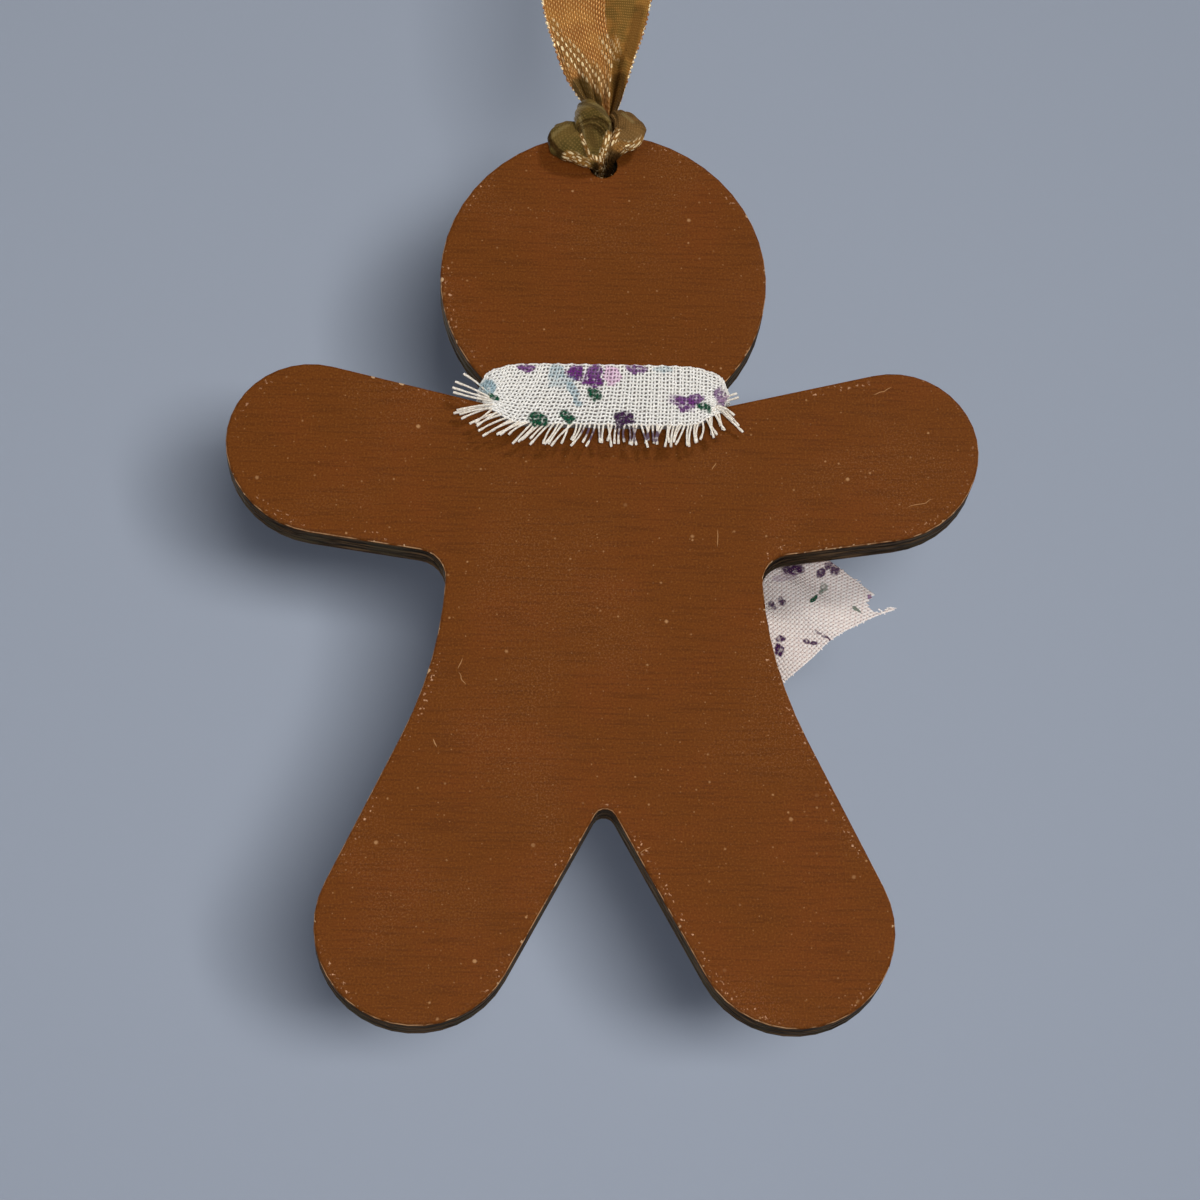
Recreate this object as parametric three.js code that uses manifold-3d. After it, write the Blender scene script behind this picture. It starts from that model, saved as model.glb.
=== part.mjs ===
// Gingerbread man ornament: a plywood figure that hangs by a satin ribbon and wears a knotted cotton scarf.
// Millimetres. +Z is up, the plain back of the figure faces -Y and its painted front faces +Y.
// The origin is the point where the ribbon loop rests on its hook, just under the top knot.

import * as THREE from 'three';
import Module from 'manifold-3d';
import { mergeVertices } from 'three/addons/utils/BufferGeometryUtils.js';

const wasm = await Module();
wasm.setup();

// Plywood figure, its places measured from the centre of the head
const headRadius = 18;
const neckFilletRadius = 1;
const neckFilletAngle = -48.3; // degrees, seen from the centre of the head
const handReach = 31.75; // centre line to the centre of the hand
const handDrop = 19.9;
const handRadius = 9.1;
const underHandRadius = 11; // the flatter curve below the tip of the hand
const handTipAngle = -10; // degrees, where the two curves of the hand meet
const armpitReach = 20.2;
const armpitDrop = 35.45;
const armpitRadius = 3.25;
const waistRadius = 46.5;
const waistStartAngle = 183; // degrees, where the armpit runs into the waist
const footReach = 19.5;
const footDrop = 73.6;
const footRadius = 10.5;
const crotchDrop = 62.1;
const crotchRadius = 1.2;
const veneerThickness = 1.3;
const coreThickness = 1.4;
const edgeEasing = 0.3; // rounding of the board's two outer edges
const hangingHoleRadius = 1.6;
const hangingHoleDrop = 4.1; // top of the head to the centre of the hole
const facetHeight = 0.035; // how far a flat facet may lie inside its round outline

// Icing on the front
const icingHeight = 0.8;
const eyeRadius = 1.6;
const eyeReach = 5.4;
const eyeRise = 4.2;
const smileRadius = 8.2;
const smileRise = 1.4;
const smileSpread = 52; // degrees to each side
const smileLineRadius = 0.65;
const buttonRadius = 2;
const firstButtonDrop = 29.5;
const buttonPitch = 11.5;

// Ribbon
const ribbonWidth = 10;
const ribbonThickness = 0.4;
const gatheredThickness = 0.45; // one strand, folded together at the hitch
const loopLength = 60; // hitch pivot to the hook
const pivotRise = 5.6; // top of the head to the bend of the ribbon
const strandParting = 3.2; // how far each strand bows away from the middle of the loop
const strandCup = 0.5; // hollow across the width of a strand
const hitchThickness = 1.1; // half the thickness of a gathered fold
const hitchRise = 4.3; // top of the head to the top of the front fold
const leftFoldReach = 3.8; // middle of the hitch to the middle of the fold's far end
const leftFoldWidth = 4.4;
const rightFoldReach = 3.1;
const rightFoldWidth = 3.6;
const topKnotWidth = 7;
const topKnotDepth = 5;
const topKnotHeight = 6;
const ribbonEndLength = 12;
const ribbonEndSlant = 3.2; // how much longer one side of the slanted cut is
const ribbonEndLean = 16; // degrees that each cut end leans out

// Scarf
const scarfThickness = 0.7; // one layer of the cloth with its small folds
const foldedThickness = 1.2; // the folded band round the neck
const bandHeight = 6.8;
const bandRise = 3.3; // middle of the neck notch to the folded upper edge
const bandEndRadius = 0.8; // the cloth squeezed together beside the neck
const knotWidth = 8.4;
const knotHeight = 5.8;
const knotDepth = 4.4;
const longTailLength = 31.8;
const longTailWidth = 25;
const longTailAngle = -55.6; // degrees from +X, pointing down to the right
const longTailRise = 0.4; // how far the end of the cloth stands off the face
const longTailPleats = 2.5;
const shortTailLength = 25;
const shortTailWidth = 19;
const shortTailAngle = -100;
const shortTailRise = 1.2;
const shortTailPleats = 2;
const gatheredTailWidth = 5.2;
const tailPleatDepth = 0.8;
const tailEndHollow = 0.9; // how far the cut end is hollow between its corners

// Clearances
const fabricGap = 0.3;
const turnGap = 0.3; // between the two halves of the loop, where the ribbon twists

const boardHalf = veneerThickness + coreThickness / 2;
const holeZ = headRadius - hangingHoleDrop;
const pivotZ = headRadius + pivotRise;
const hookZ = pivotZ + loopLength;
const radians = THREE.MathUtils.degToRad;

const paint = new THREE.MeshStandardMaterial({ color: 0x6b3514, roughness: 0.55, metalness: 0 });
const ply = new THREE.MeshStandardMaterial({ color: 0x2c231b, roughness: 0.8, metalness: 0 });
const satin = new THREE.MeshStandardMaterial({ color: 0x9a6a2c, roughness: 0.35, metalness: 0.1 });
const cotton = new THREE.MeshStandardMaterial({ color: 0xe6e4e2, roughness: 0.95, metalness: 0 });
const icing = new THREE.MeshStandardMaterial({ color: 0xf1ece0, roughness: 0.45, metalness: 0 });

// General shapes

// Closes a list of triangles into one geometry whose faces point out.
function closedGeometry(points, faces) {
  let volume = 0;
  for (const [a, b, c] of faces) {
    volume += points[a].dot(points[b].clone().cross(points[c]));
  }
  const index = faces.flatMap(([a, b, c]) => (volume < 0 ? [a, c, b] : [a, b, c]));
  const geometry = new THREE.BufferGeometry().setFromPoints(points);
  geometry.setIndex(index);
  geometry.computeVertexNormals();
  return geometry;
}

// Skins rings of equally many points. A closed loop joins the last ring to the first;
// an open one gets flat caps.
function loft(rings, closed = false) {
  const sides = rings[0].length;
  const points = rings.flat();
  const faces = [];
  const spans = closed ? rings.length : rings.length - 1;
  for (let ring = 0; ring < spans; ring += 1) {
    const next = (ring + 1) % rings.length;
    for (let side = 0; side < sides; side += 1) {
      const beside = (side + 1) % sides;
      const [a, b] = [ring * sides + side, ring * sides + beside];
      const [c, d] = [next * sides + beside, next * sides + side];
      faces.push([a, b, c], [a, c, d]);
    }
  }
  if (!closed) {
    for (const [first, turned] of [[0, true], [(rings.length - 1) * sides, false]]) {
      const middle = points.length;
      const ring = points.slice(first, first + sides);
      points.push(ring.reduce((sum, p) => sum.add(p), new THREE.Vector3()).divideScalar(sides));
      for (let side = 0; side < sides; side += 1) {
        const beside = (side + 1) % sides;
        const [a, b] = turned ? [beside, side] : [side, beside];
        faces.push([middle, first + a, first + b]);
      }
    }
  }
  return closedGeometry(points, faces);
}

// Gives a surface, stated as a function of two shares, a thickness to both sides.
function sheet(pointAt, columns, rows, thicknessAt) {
  const step = 0.001;
  const points = [];
  const faces = [];
  for (const side of [1, -1]) {
    for (let row = 0; row <= rows; row += 1) {
      for (let column = 0; column <= columns; column += 1) {
        const [across, along] = [column / columns, row / rows];
        const acrossStep = pointAt(across + step, along).sub(pointAt(across - step, along));
        const alongStep = pointAt(across, along + step).sub(pointAt(across, along - step));
        const normal = acrossStep.cross(alongStep).normalize();
        points.push(pointAt(across, along).addScaledVector(normal, side * thicknessAt(along) / 2));
      }
    }
  }
  const width = columns + 1;
  const back = width * (rows + 1);
  for (let row = 0; row < rows; row += 1) {
    for (let column = 0; column < columns; column += 1) {
      const a = row * width + column;
      const [b, c, d] = [a + 1, a + width + 1, a + width];
      faces.push([a, b, c], [a, c, d]);
      faces.push([back + a, back + c, back + b], [back + a, back + d, back + c]);
    }
  }
  const border = [];
  for (let column = 0; column < columns; column += 1) border.push(column);
  for (let row = 0; row < rows; row += 1) border.push(row * width + columns);
  for (let column = columns; column > 0; column -= 1) border.push(rows * width + column);
  for (let row = rows; row > 0; row -= 1) border.push(row * width);
  border.forEach((a, place) => {
    const b = border[(place + 1) % border.length];
    faces.push([b, a, back + a], [b, back + a, back + b]);
  });
  return closedGeometry(points, faces);
}

// A smooth value between stations, each given as [share, value].
function between(stations, share) {
  const last = stations.length - 1;
  let place = 0;
  while (place < last - 1 && share > stations[place + 1][0]) place += 1;
  const [from, to] = [stations[place], stations[place + 1]];
  const before = stations[Math.max(place - 1, 0)];
  const after = stations[Math.min(place + 2, last)];
  const span = to[0] - from[0];
  const part = THREE.MathUtils.clamp((share - from[0]) / span, 0, 1);
  const startSlope = (to[1] - before[1]) / (to[0] - before[0]) * span;
  const endSlope = (after[1] - from[1]) / (after[0] - from[0]) * span;
  const [square, cube] = [part ** 2, part ** 3];
  return from[1] * (2 * cube - 3 * square + 1) + startSlope * (cube - 2 * square + part)
    + to[1] * (3 * square - 2 * cube) + endSlope * (cube - square);
}

function toSolid(geometry) {
  const bare = geometry.clone();
  bare.deleteAttribute('normal');
  bare.deleteAttribute('uv');
  const merged = mergeVertices(bare);
  return new wasm.Manifold(new wasm.Mesh({
    numProp: 3,
    vertProperties: new Float32Array(merged.attributes.position.array),
    triVerts: new Uint32Array(merged.index.array),
  }));
}

function toGeometry(solid) {
  const mesh = solid.getMesh();
  const geometry = new THREE.BufferGeometry();
  geometry.setAttribute('position', new THREE.BufferAttribute(new Float32Array(mesh.vertProperties), 3));
  geometry.setIndex(new THREE.BufferAttribute(new Uint32Array(mesh.triVerts), 1));
  geometry.computeVertexNormals();
  return geometry;
}

function joined(geometries) {
  return geometries.map(toSolid).reduce((sum, solid) => sum.add(solid));
}

// Plywood figure

// The outline is a belt round these circles. Turn is 1 where the wood bulges and -1 where it is hollow.
function outlineCircles() {
  const origin = new THREE.Vector2();
  const along = (angle, length) => new THREE.Vector2(length, 0).rotateAround(origin, radians(angle));
  const hand = new THREE.Vector2(handReach, -handDrop);
  const underHand = hand.clone().add(along(handTipAngle, handRadius - underHandRadius));
  const armpit = new THREE.Vector2(armpitReach, -armpitDrop);
  const waist = armpit.clone().add(along(waistStartAngle, armpitRadius - waistRadius));
  const neck = along(neckFilletAngle, headRadius + neckFilletRadius);
  return [
    { centre: new THREE.Vector2(0, -crotchDrop), radius: crotchRadius, turn: -1 },
    { centre: new THREE.Vector2(footReach, -footDrop), radius: footRadius, turn: 1 },
    { centre: waist, radius: waistRadius, turn: -1 },
    { centre: armpit, radius: armpitRadius, turn: -1 },
    { centre: underHand, radius: underHandRadius, turn: 1 },
    { centre: hand, radius: handRadius, turn: 1 },
    { centre: neck, radius: neckFilletRadius, turn: -1 },
    { centre: new THREE.Vector2(0, 0), radius: headRadius, turn: 1 },
  ];
}

// Heading of the straight side that touches two circles, one after the other.
function tangentHeading(from, to) {
  const way = to.centre.clone().sub(from.centre);
  const lean = (to.turn * to.radius - from.turn * from.radius) / way.length();
  return way.angle() - Math.asin(THREE.MathUtils.clamp(lean, -1, 1));
}

// The outline's arcs, right side up to the head and mirrored down the left.
function outlineArcs() {
  const right = outlineCircles();
  const mirrored = (circle) => ({ ...circle, centre: new THREE.Vector2(-circle.centre.x, circle.centre.y) });
  const left = right.slice(1, -1).reverse().map(mirrored);
  const belt = [...right, ...left];
  return belt.map((circle, place) => {
    const before = belt[(place + belt.length - 1) % belt.length];
    const after = belt[(place + 1) % belt.length];
    const start = tangentHeading(before, circle) - circle.turn * Math.PI / 2;
    const end = tangentHeading(circle, after) - circle.turn * Math.PI / 2;
    const sweep = THREE.MathUtils.euclideanModulo((end - start) * circle.turn, Math.PI * 2);
    const facet = 2 * Math.acos(1 - facetHeight / Math.max(circle.radius, facetHeight));
    return { ...circle, start, sweep, steps: Math.max(1, Math.ceil(sweep / facet)) };
  });
}

const arcs = outlineArcs();

// Points of the outline, drawn in from the edge by an inset; every inset has equally many points.
function outlinePoints(inset) {
  return arcs.flatMap(({ centre, radius, turn, start, sweep, steps }) => {
    const points = [];
    for (let step = 0; step <= steps; step += 1) {
      const angle = start + turn * sweep * step / steps;
      const reach = radius - turn * inset;
      points.push(new THREE.Vector2(centre.x + reach * Math.cos(angle), centre.y + reach * Math.sin(angle)));
    }
    return points;
  });
}

function holePoints(inset) {
  const steps = Math.ceil(Math.PI / Math.acos(1 - facetHeight / hangingHoleRadius));
  const points = [];
  for (let step = 0; step < steps; step += 1) {
    const angle = -Math.PI * 2 * step / steps;
    const reach = hangingHoleRadius + inset;
    points.push(new THREE.Vector2(reach * Math.cos(angle), holeZ + reach * Math.sin(angle)));
  }
  return points;
}

// A slice of the board, stated as levels of [depth along Y, inset from the edge].
function boardSlice(levels) {
  const points = [];
  const faces = [];
  let outer;
  let hole;
  for (const [y, inset] of levels) {
    outer = outlinePoints(inset);
    hole = holePoints(Math.min(inset, 0));
    for (const p of [...outer, ...hole]) points.push(new THREE.Vector3(p.x, y, p.y));
  }
  const ring = outer.length + hole.length;
  for (let level = 0; level < levels.length - 1; level += 1) {
    for (const [first, count] of [[0, outer.length], [outer.length, hole.length]]) {
      for (let place = 0; place < count; place += 1) {
        const a = level * ring + first + place;
        const b = level * ring + first + (place + 1) % count;
        faces.push([a, b, b + ring], [a, b + ring, a + ring]);
      }
    }
  }
  const top = (levels.length - 1) * ring;
  for (const [a, b, c] of THREE.ShapeUtils.triangulateShape(outer, [hole])) {
    faces.push([b, a, c], [top + a, top + b, top + c]);
  }
  return closedGeometry(points, faces);
}

const glueLine = coreThickness / 2;
const easingShares = [[0, 1], [0.3, 0.3], [1, 0]]; // depth and inset of the rounded edge

function veneer(side) {
  const eased = easingShares.map(([depth, inset]) => [
    side * (boardHalf - depth * edgeEasing),
    inset * edgeEasing,
  ]);
  return boardSlice([...eased, [side * glueLine, 0]]);
}

// The board with the cloth's clearance round it, to cut the ribbon and the scarf free of the wood.
const clearHalf = boardHalf + fabricGap;
const boardClearance = toSolid(boardSlice([[-clearHalf, -fabricGap], [clearHalf, -fabricGap]]));

// Icing, flat on the front face

function icingDrop(radius) {
  const profile = [new THREE.Vector2(0, boardHalf)];
  const domeShares = [[1, 0], [0.97, 0.4], [0.8, 0.75], [0.5, 0.94]]; // radius and height
  for (const [out, up] of domeShares) {
    profile.push(new THREE.Vector2(radius * out, boardHalf + icingHeight * up));
  }
  profile.push(new THREE.Vector2(0, boardHalf + icingHeight));
  return new THREE.LatheGeometry(profile, 24);
}

function smileLine() {
  const rings = [];
  const stations = 20;
  for (let station = 0; station <= stations; station += 1) {
    const share = station / stations * 2 - 1;
    const angle = radians(share * smileSpread - 90);
    const swell = smileLineRadius * (1 - 0.35 * share ** 4);
    const ring = [];
    for (const turn of [0, 36, 72, 108, 144, 180]) {
      const reach = smileRadius + swell * Math.cos(radians(turn));
      const height = icingHeight * Math.sin(radians(turn)) * swell / smileLineRadius;
      const y = turn === 180 ? boardHalf : boardHalf + height;
      ring.push(new THREE.Vector3(reach * Math.cos(angle), y, smileRise + reach * Math.sin(angle)));
    }
    rings.push(ring);
  }
  return loft(rings);
}

// Ribbon

// Stations up a strand: share of the loop's length, then a share of the size that it follows.
const upperWidthShares = [[0.34, 0.9], [0.5, 1], [0.72, 1], [0.88, 0.9], [1, 0.42]];
const frontWidthShares = [[0, 0.38], [0.07, 0.6], [0.18, 0.7], ...upperWidthShares];
const rearWidthShares = [[0, 0.33], [0.07, 0.5], [0.18, 0.7], ...upperWidthShares];
const partingShares = [
  [0, 0.1], [0.08, 0.13], [0.2, 0.24], [0.35, 0.42], [0.5, 0.66], [0.7, 0.97], [0.86, 0.92], [1, 0.14],
];
const frontShiftShares = [
  [0, -0.1], [0.07, -0.19], [0.18, -0.32], [0.32, -0.3], [0.5, -0.16], [0.72, -0.04], [1, 0],
];
const rearShiftShares = [
  [0, 0.05], [0.07, 0.08], [0.18, 0.17], [0.32, 0.2], [0.5, 0.12], [0.72, 0.04], [1, 0],
];
const thicknessShares = [[0, 0], [0.1, 1], [1, 1]];
const cupStartShare = 0.2; // the cup grows over this much of the loop's length at the hitch
const cupEndShare = 0.1;

// One strand of the loop between two shares of its length, side -1 in front and 1 behind.
function strand(side, fromShare, toShare, rows) {
  const shiftShares = side < 0 ? frontShiftShares : rearShiftShares;
  const widthShares = side < 0 ? frontWidthShares : rearWidthShares;
  const shareAt = (along) => fromShare + (toShare - fromShare) * along;
  const pointAt = (across, along) => {
    const share = shareAt(along);
    const reach = (across - 0.5) * ribbonWidth * between(widthShares, share);
    const fade = Math.min(share / cupStartShare, 1) * Math.min((1 - share) / cupEndShare, 1);
    const cup = strandCup * fade * (4 * (across - 0.5) ** 2 - 0.4);
    return new THREE.Vector3(
      ribbonWidth * between(shiftShares, share) + reach,
      side * (strandParting * between(partingShares, share) + cup),
      pivotZ + loopLength * share,
    );
  };
  const thicknessAt = (along) => {
    const share = between(thicknessShares, Math.min(shareAt(along), 1));
    return gatheredThickness + (ribbonThickness - gatheredThickness) * share;
  };
  return sheet(pointAt, 6, rows, thicknessAt);
}

// A gathered fold of ribbon: a tube of leaf-like section. Each station has its place,
// half width, half thickness and the way its flat side faces.
function fold(stations, closed, steps, sides = 8) {
  const curve = new THREE.CatmullRomCurve3(stations.map(({ at }) => at), closed);
  const spans = closed ? stations.length : stations.length - 1;
  const count = closed ? steps : steps + 1;
  const rings = [];
  for (let step = 0; step < count; step += 1) {
    const share = step / steps;
    const centre = curve.getPoint(share);
    const way = curve.getTangent(share);
    const place = Math.min(Math.floor(share * spans), spans - 1);
    const part = share * spans - place;
    const next = stations[(place + 1) % stations.length];
    const halfWidth = THREE.MathUtils.lerp(stations[place].halfWidth, next.halfWidth, part);
    const halfThickness = THREE.MathUtils.lerp(stations[place].halfThickness, next.halfThickness, part);
    const facing = stations[place].facing.clone().lerp(next.facing, part);
    const widthWay = way.clone().cross(facing).normalize();
    const thickWay = widthWay.clone().cross(way).normalize();
    const ring = [];
    for (let side = 0; side < sides; side += 1) {
      const angle = Math.PI * 2 * side / sides;
      ring.push(centre.clone()
        .addScaledVector(widthWay, halfWidth * Math.cos(angle))
        .addScaledVector(thickWay, halfThickness * Math.sin(angle)));
    }
    rings.push(ring);
  }
  return loft(rings, closed);
}

// A ribbon leg comes out of the hole, bulges on the face, and wraps over the rim and down the other face.
// side is -1 for the left leg and 1 for the right one; climb is how high the leg lies on the face.
function hitchLeg(side, reach, width, climb) {
  const faceY = boardHalf + fabricGap;
  const rimZ = headRadius + fabricGap;
  const thick = hitchThickness;
  const [belly, narrow] = [width / 2, width * 0.3];
  const station = (x, y, z, halfWidth, halfThickness, facing) => ({
    at: new THREE.Vector3(side * x, y, z),
    halfWidth,
    halfThickness,
    facing: new THREE.Vector3(...facing),
  });
  const throat = hangingHoleRadius * 0.4;
  const rearZ = (holeZ + headRadius) / 2;
  return fold([
    station(throat * 0.6, 0, holeZ, thick * 0.75, thick * 0.75, [side, 0, 0.2]),
    station(throat, -faceY - thick * 0.6, holeZ, thick * 0.9, thick * 0.6, [0, -1, -0.3]),
    station(reach * 0.66, -faceY - thick * 1.1, holeZ + climb * 0.32, belly * 0.85, thick, [0, -1, -0.2]),
    station(reach, -faceY - thick * 0.9, holeZ + climb * 0.75, belly, thick * 0.9, [0, -1, 0]),
    station(reach * 0.7, -boardHalf - thick * 0.5, rimZ, narrow * 1.2, thick * 0.7, [0, -0.8, 1]),
    station(reach * 0.45, 0, rimZ + thick, narrow, thick * 0.7, [0, 0, 1]),
    station(reach * 0.4, boardHalf + thick * 0.5, rimZ - thick * 0.1, narrow, thick * 0.7, [0, 0.8, 1]),
    station(reach * 0.33, faceY + thick * 0.8, rearZ, narrow, thick * 0.8, [0, 1, 0]),
    station(throat, faceY + thick * 0.4, holeZ + thick * 0.3, thick * 0.9, thick * 0.6, [0, 1, -0.3]),
  ], true, 30);
}

// The bight crosses in front of the strands: from behind on the left, over the front, into the hole.
function hitchBight() {
  const faceY = boardHalf + fabricGap;
  const thick = hitchThickness;
  const top = headRadius + hitchRise;
  const lapZ = (top + holeZ) / 2 - thick;
  const station = (x, y, z, halfWidth, halfThickness, facing) => ({
    at: new THREE.Vector3(x, y, z),
    halfWidth,
    halfThickness,
    facing: new THREE.Vector3(...facing),
  });
  return fold([
    station(-thick * 0.5, thick, top - thick * 2.6, thick, thick * 0.6, [-1, 0.4, 0.3]),
    station(-thick * 2, -thick * 0.3, top - thick * 1.7, thick, thick * 0.5, [-1, 0.4, 0.3]),
    station(-thick * 1.9, -thick * 1.7, top - thick * 1.35, thick * 1.2, thick * 0.6, [-1, -0.7, 0]),
    station(-thick * 1.1, -thick * 2.8, top - thick * 2.6, thick * 1.5, thick * 0.9, [-0.2, -1, 0]),
    station(-thick * 0.4, -faceY - thick * 1.5, lapZ, thick * 1.5, thick * 0.9, [0, -1, 0]),
    station(0, -faceY - thick * 0.5, holeZ + thick * 0.3, thick, thick * 0.6, [0, -1, 0]),
    station(0, -boardHalf * 0.5, holeZ, thick * 0.8, thick * 0.8, [0, -1, 0]),
  ], false, 20);
}

// The two strands gathered together between the bend and the rim.
function hitchNeck() {
  const thick = hitchThickness;
  const strandDepth = strandParting * partingShares[0][1] + gatheredThickness / 2;
  const top = pivotZ - strandDepth - fabricGap; // clear of the strands when the figure swings up
  const facing = new THREE.Vector3(0, -1, 0);
  const station = (z, halfWidth, halfThickness) => ({
    at: new THREE.Vector3(0, 0, z),
    halfWidth,
    halfThickness,
    facing,
  });
  return fold([
    station(headRadius + fabricGap + thick * 0.4, thick * 1.8, thick),
    station((headRadius + top) / 2, thick * 1.6, thick * 0.9),
    station(top, thick * 1.7, thick * 0.7),
  ], false, 6);
}

function hitch() {
  const leftLeg = hitchLeg(-1, leftFoldReach, leftFoldWidth, hangingHoleDrop * 0.85);
  const rightLeg = hitchLeg(1, rightFoldReach, rightFoldWidth, hangingHoleDrop * 1.15);
  const folds = joined([leftLeg, rightLeg, hitchBight(), hitchNeck()]);
  return toGeometry(folds.subtract(boardClearance));
}

// Overhand knot of both strands: a core with one turn wound aslant round it.
function topKnot() {
  const [halfWidth, halfDepth, halfHeight] = [topKnotWidth / 2, topKnotDepth / 2, topKnotHeight / 2];
  const core = new THREE.SphereGeometry(1, 16, 10);
  core.scale(halfWidth * 0.8, halfDepth * 0.82, halfHeight);
  const turns = [];
  for (let place = 0; place < 8; place += 1) {
    const angle = Math.PI / 4 * place;
    const out = new THREE.Vector3(Math.cos(angle), Math.sin(angle), 0);
    turns.push({
      at: new THREE.Vector3(halfWidth * 0.8 * out.x, halfDepth * 0.78 * out.y, halfHeight * 0.28 * out.x),
      halfWidth: halfHeight * 0.52,
      halfThickness: halfDepth * 0.2,
      facing: out,
    });
  }
  const knot = toGeometry(joined([core, fold(turns, true, 28)]));
  return knot;
}

// The ribbon's cut ends above the knot, fanned out to both sides.
function ribbonEnd(side) {
  const pointAt = (across, along) => {
    const spread = THREE.MathUtils.lerp(0.36, 0.95, Math.sin(along * Math.PI / 2));
    const reach = (across - 0.5) * ribbonWidth * spread;
    const length = ribbonEndLength + ribbonEndSlant * (side * (across - 0.5));
    const lean = radians(side * ribbonEndLean * along);
    const ripple = Math.cos(across * Math.PI * 2) * ribbonThickness * (1 - along);
    return new THREE.Vector3(
      side * ribbonWidth * 0.07 + reach * Math.cos(lean) + length * along * Math.sin(lean),
      side * (ribbonThickness * 1.4 + ribbonWidth * 0.1 * along) + ripple * 0.3,
      length * along * Math.cos(lean) - reach * Math.sin(lean),
    );
  };
  return sheet(pointAt, 6, 10, () => ribbonThickness);
}

// Scarf

const neck = outlineCircles().find(({ turn, radius }) => turn < 0 && radius === neckFilletRadius).centre;

// The band runs round the neck from one side of the knot to the other, in a rounded rectangle.
function neckBand() {
  const halfX = neck.x;
  const halfY = boardHalf + fabricGap + foldedThickness / 2;
  const corner = foldedThickness;
  const backMiddle = neck.y + bandRise - bandHeight / 2;
  const route = new THREE.CurvePath();
  const start = knotWidth / 2 + fabricGap;
  const spot = (x, y) => new THREE.Vector3(x, y, 0);
  route.add(new THREE.LineCurve3(spot(start, halfY), spot(halfX - corner, halfY)));
  const bend = (...spots) => route.add(new THREE.QuadraticBezierCurve3(...spots));
  bend(spot(halfX - corner, halfY), spot(halfX, halfY), spot(halfX, halfY - corner));
  route.add(new THREE.LineCurve3(spot(halfX, halfY - corner), spot(halfX, corner - halfY)));
  bend(spot(halfX, corner - halfY), spot(halfX, -halfY), spot(halfX - corner, -halfY));
  route.add(new THREE.LineCurve3(spot(halfX - corner, -halfY), spot(0, -halfY)));
  const half = route.getSpacedPoints(22).map((point, place, all) => {
    const before = all[Math.max(place - 1, 0)];
    const after = all[Math.min(place + 1, all.length - 1)];
    const way = after.clone().sub(before).normalize();
    return { point, outward: new THREE.Vector3(-way.y, way.x, 0).multiplyScalar(-1) };
  });
  const ringOf = ({ point, outward }) => {
    const wide = THREE.MathUtils.smoothstep(Math.abs(point.y), boardHalf * 0.95, halfY);
    const rounded = 1 - 0.3 * THREE.MathUtils.smoothstep(Math.abs(point.x), halfX * 0.7, halfX);
    const fullHeight = point.y < 0 ? bandHeight : knotHeight * 0.85;
    const middle = point.y < 0 ? backMiddle : neck.y;
    const halfHeight = THREE.MathUtils.lerp(bandEndRadius, fullHeight / 2 * rounded, wide);
    const halfThick = THREE.MathUtils.lerp(bandEndRadius * 0.9, foldedThickness / 2, wide);
    const centreZ = THREE.MathUtils.lerp(neck.y, middle, wide);
    const ring = [];
    const sides = 10;
    for (let side = 0; side < sides; side += 1) {
      const angle = Math.PI * 2 * side / sides;
      const thinning = 1 - 0.35 * wide * (1 - Math.sin(angle)) / 2;
      const rise = Math.sign(Math.sin(angle)) * Math.abs(Math.sin(angle)) ** 0.8;
      ring.push(point.clone()
        .addScaledVector(outward, halfThick * thinning * Math.cos(angle))
        .add(new THREE.Vector3(0, 0, centreZ + halfHeight * rise)));
    }
    return ring;
  };
  const mirrored = half.slice(0, -1).reverse().map(({ point, outward }) => ({
    point: new THREE.Vector3(-point.x, point.y, 0),
    outward: new THREE.Vector3(-outward.x, outward.y, 0),
  }));
  const rings = [...half, ...mirrored].map(ringOf);
  return toGeometry(toSolid(loft(rings)).subtract(boardClearance));
}

// The knot on the front: a plump cloth core with a turn of cloth over its middle.
function scarfKnot() {
  const [halfWidth, halfDepth, halfHeight] = [knotWidth / 2, knotDepth / 2, knotHeight / 2];
  const core = new THREE.SphereGeometry(1, 18, 12);
  core.scale(halfWidth, halfDepth * 0.8, halfHeight * 0.86);
  const turns = [];
  for (let place = 0; place < 8; place += 1) {
    const angle = Math.PI / 4 * place;
    const out = new THREE.Vector3(0.25 * Math.sin(angle), Math.cos(angle), Math.sin(angle));
    turns.push({
      at: new THREE.Vector3(halfWidth * 0.22 * out.z, halfDepth * 0.72 * out.y, halfHeight * 0.8 * out.z),
      halfWidth: halfWidth * 0.48,
      halfThickness: halfHeight * 0.2,
      facing: new THREE.Vector3(0, out.y, out.z),
    });
  }
  return toGeometry(joined([core, fold(turns, true, 28)]));
}

const pleatStart = 0.6; // radians into the first pleat at a tail's side edge
const tailTurnShare = 0.3; // share of a tail's length over which it turns from level to square to its way

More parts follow.
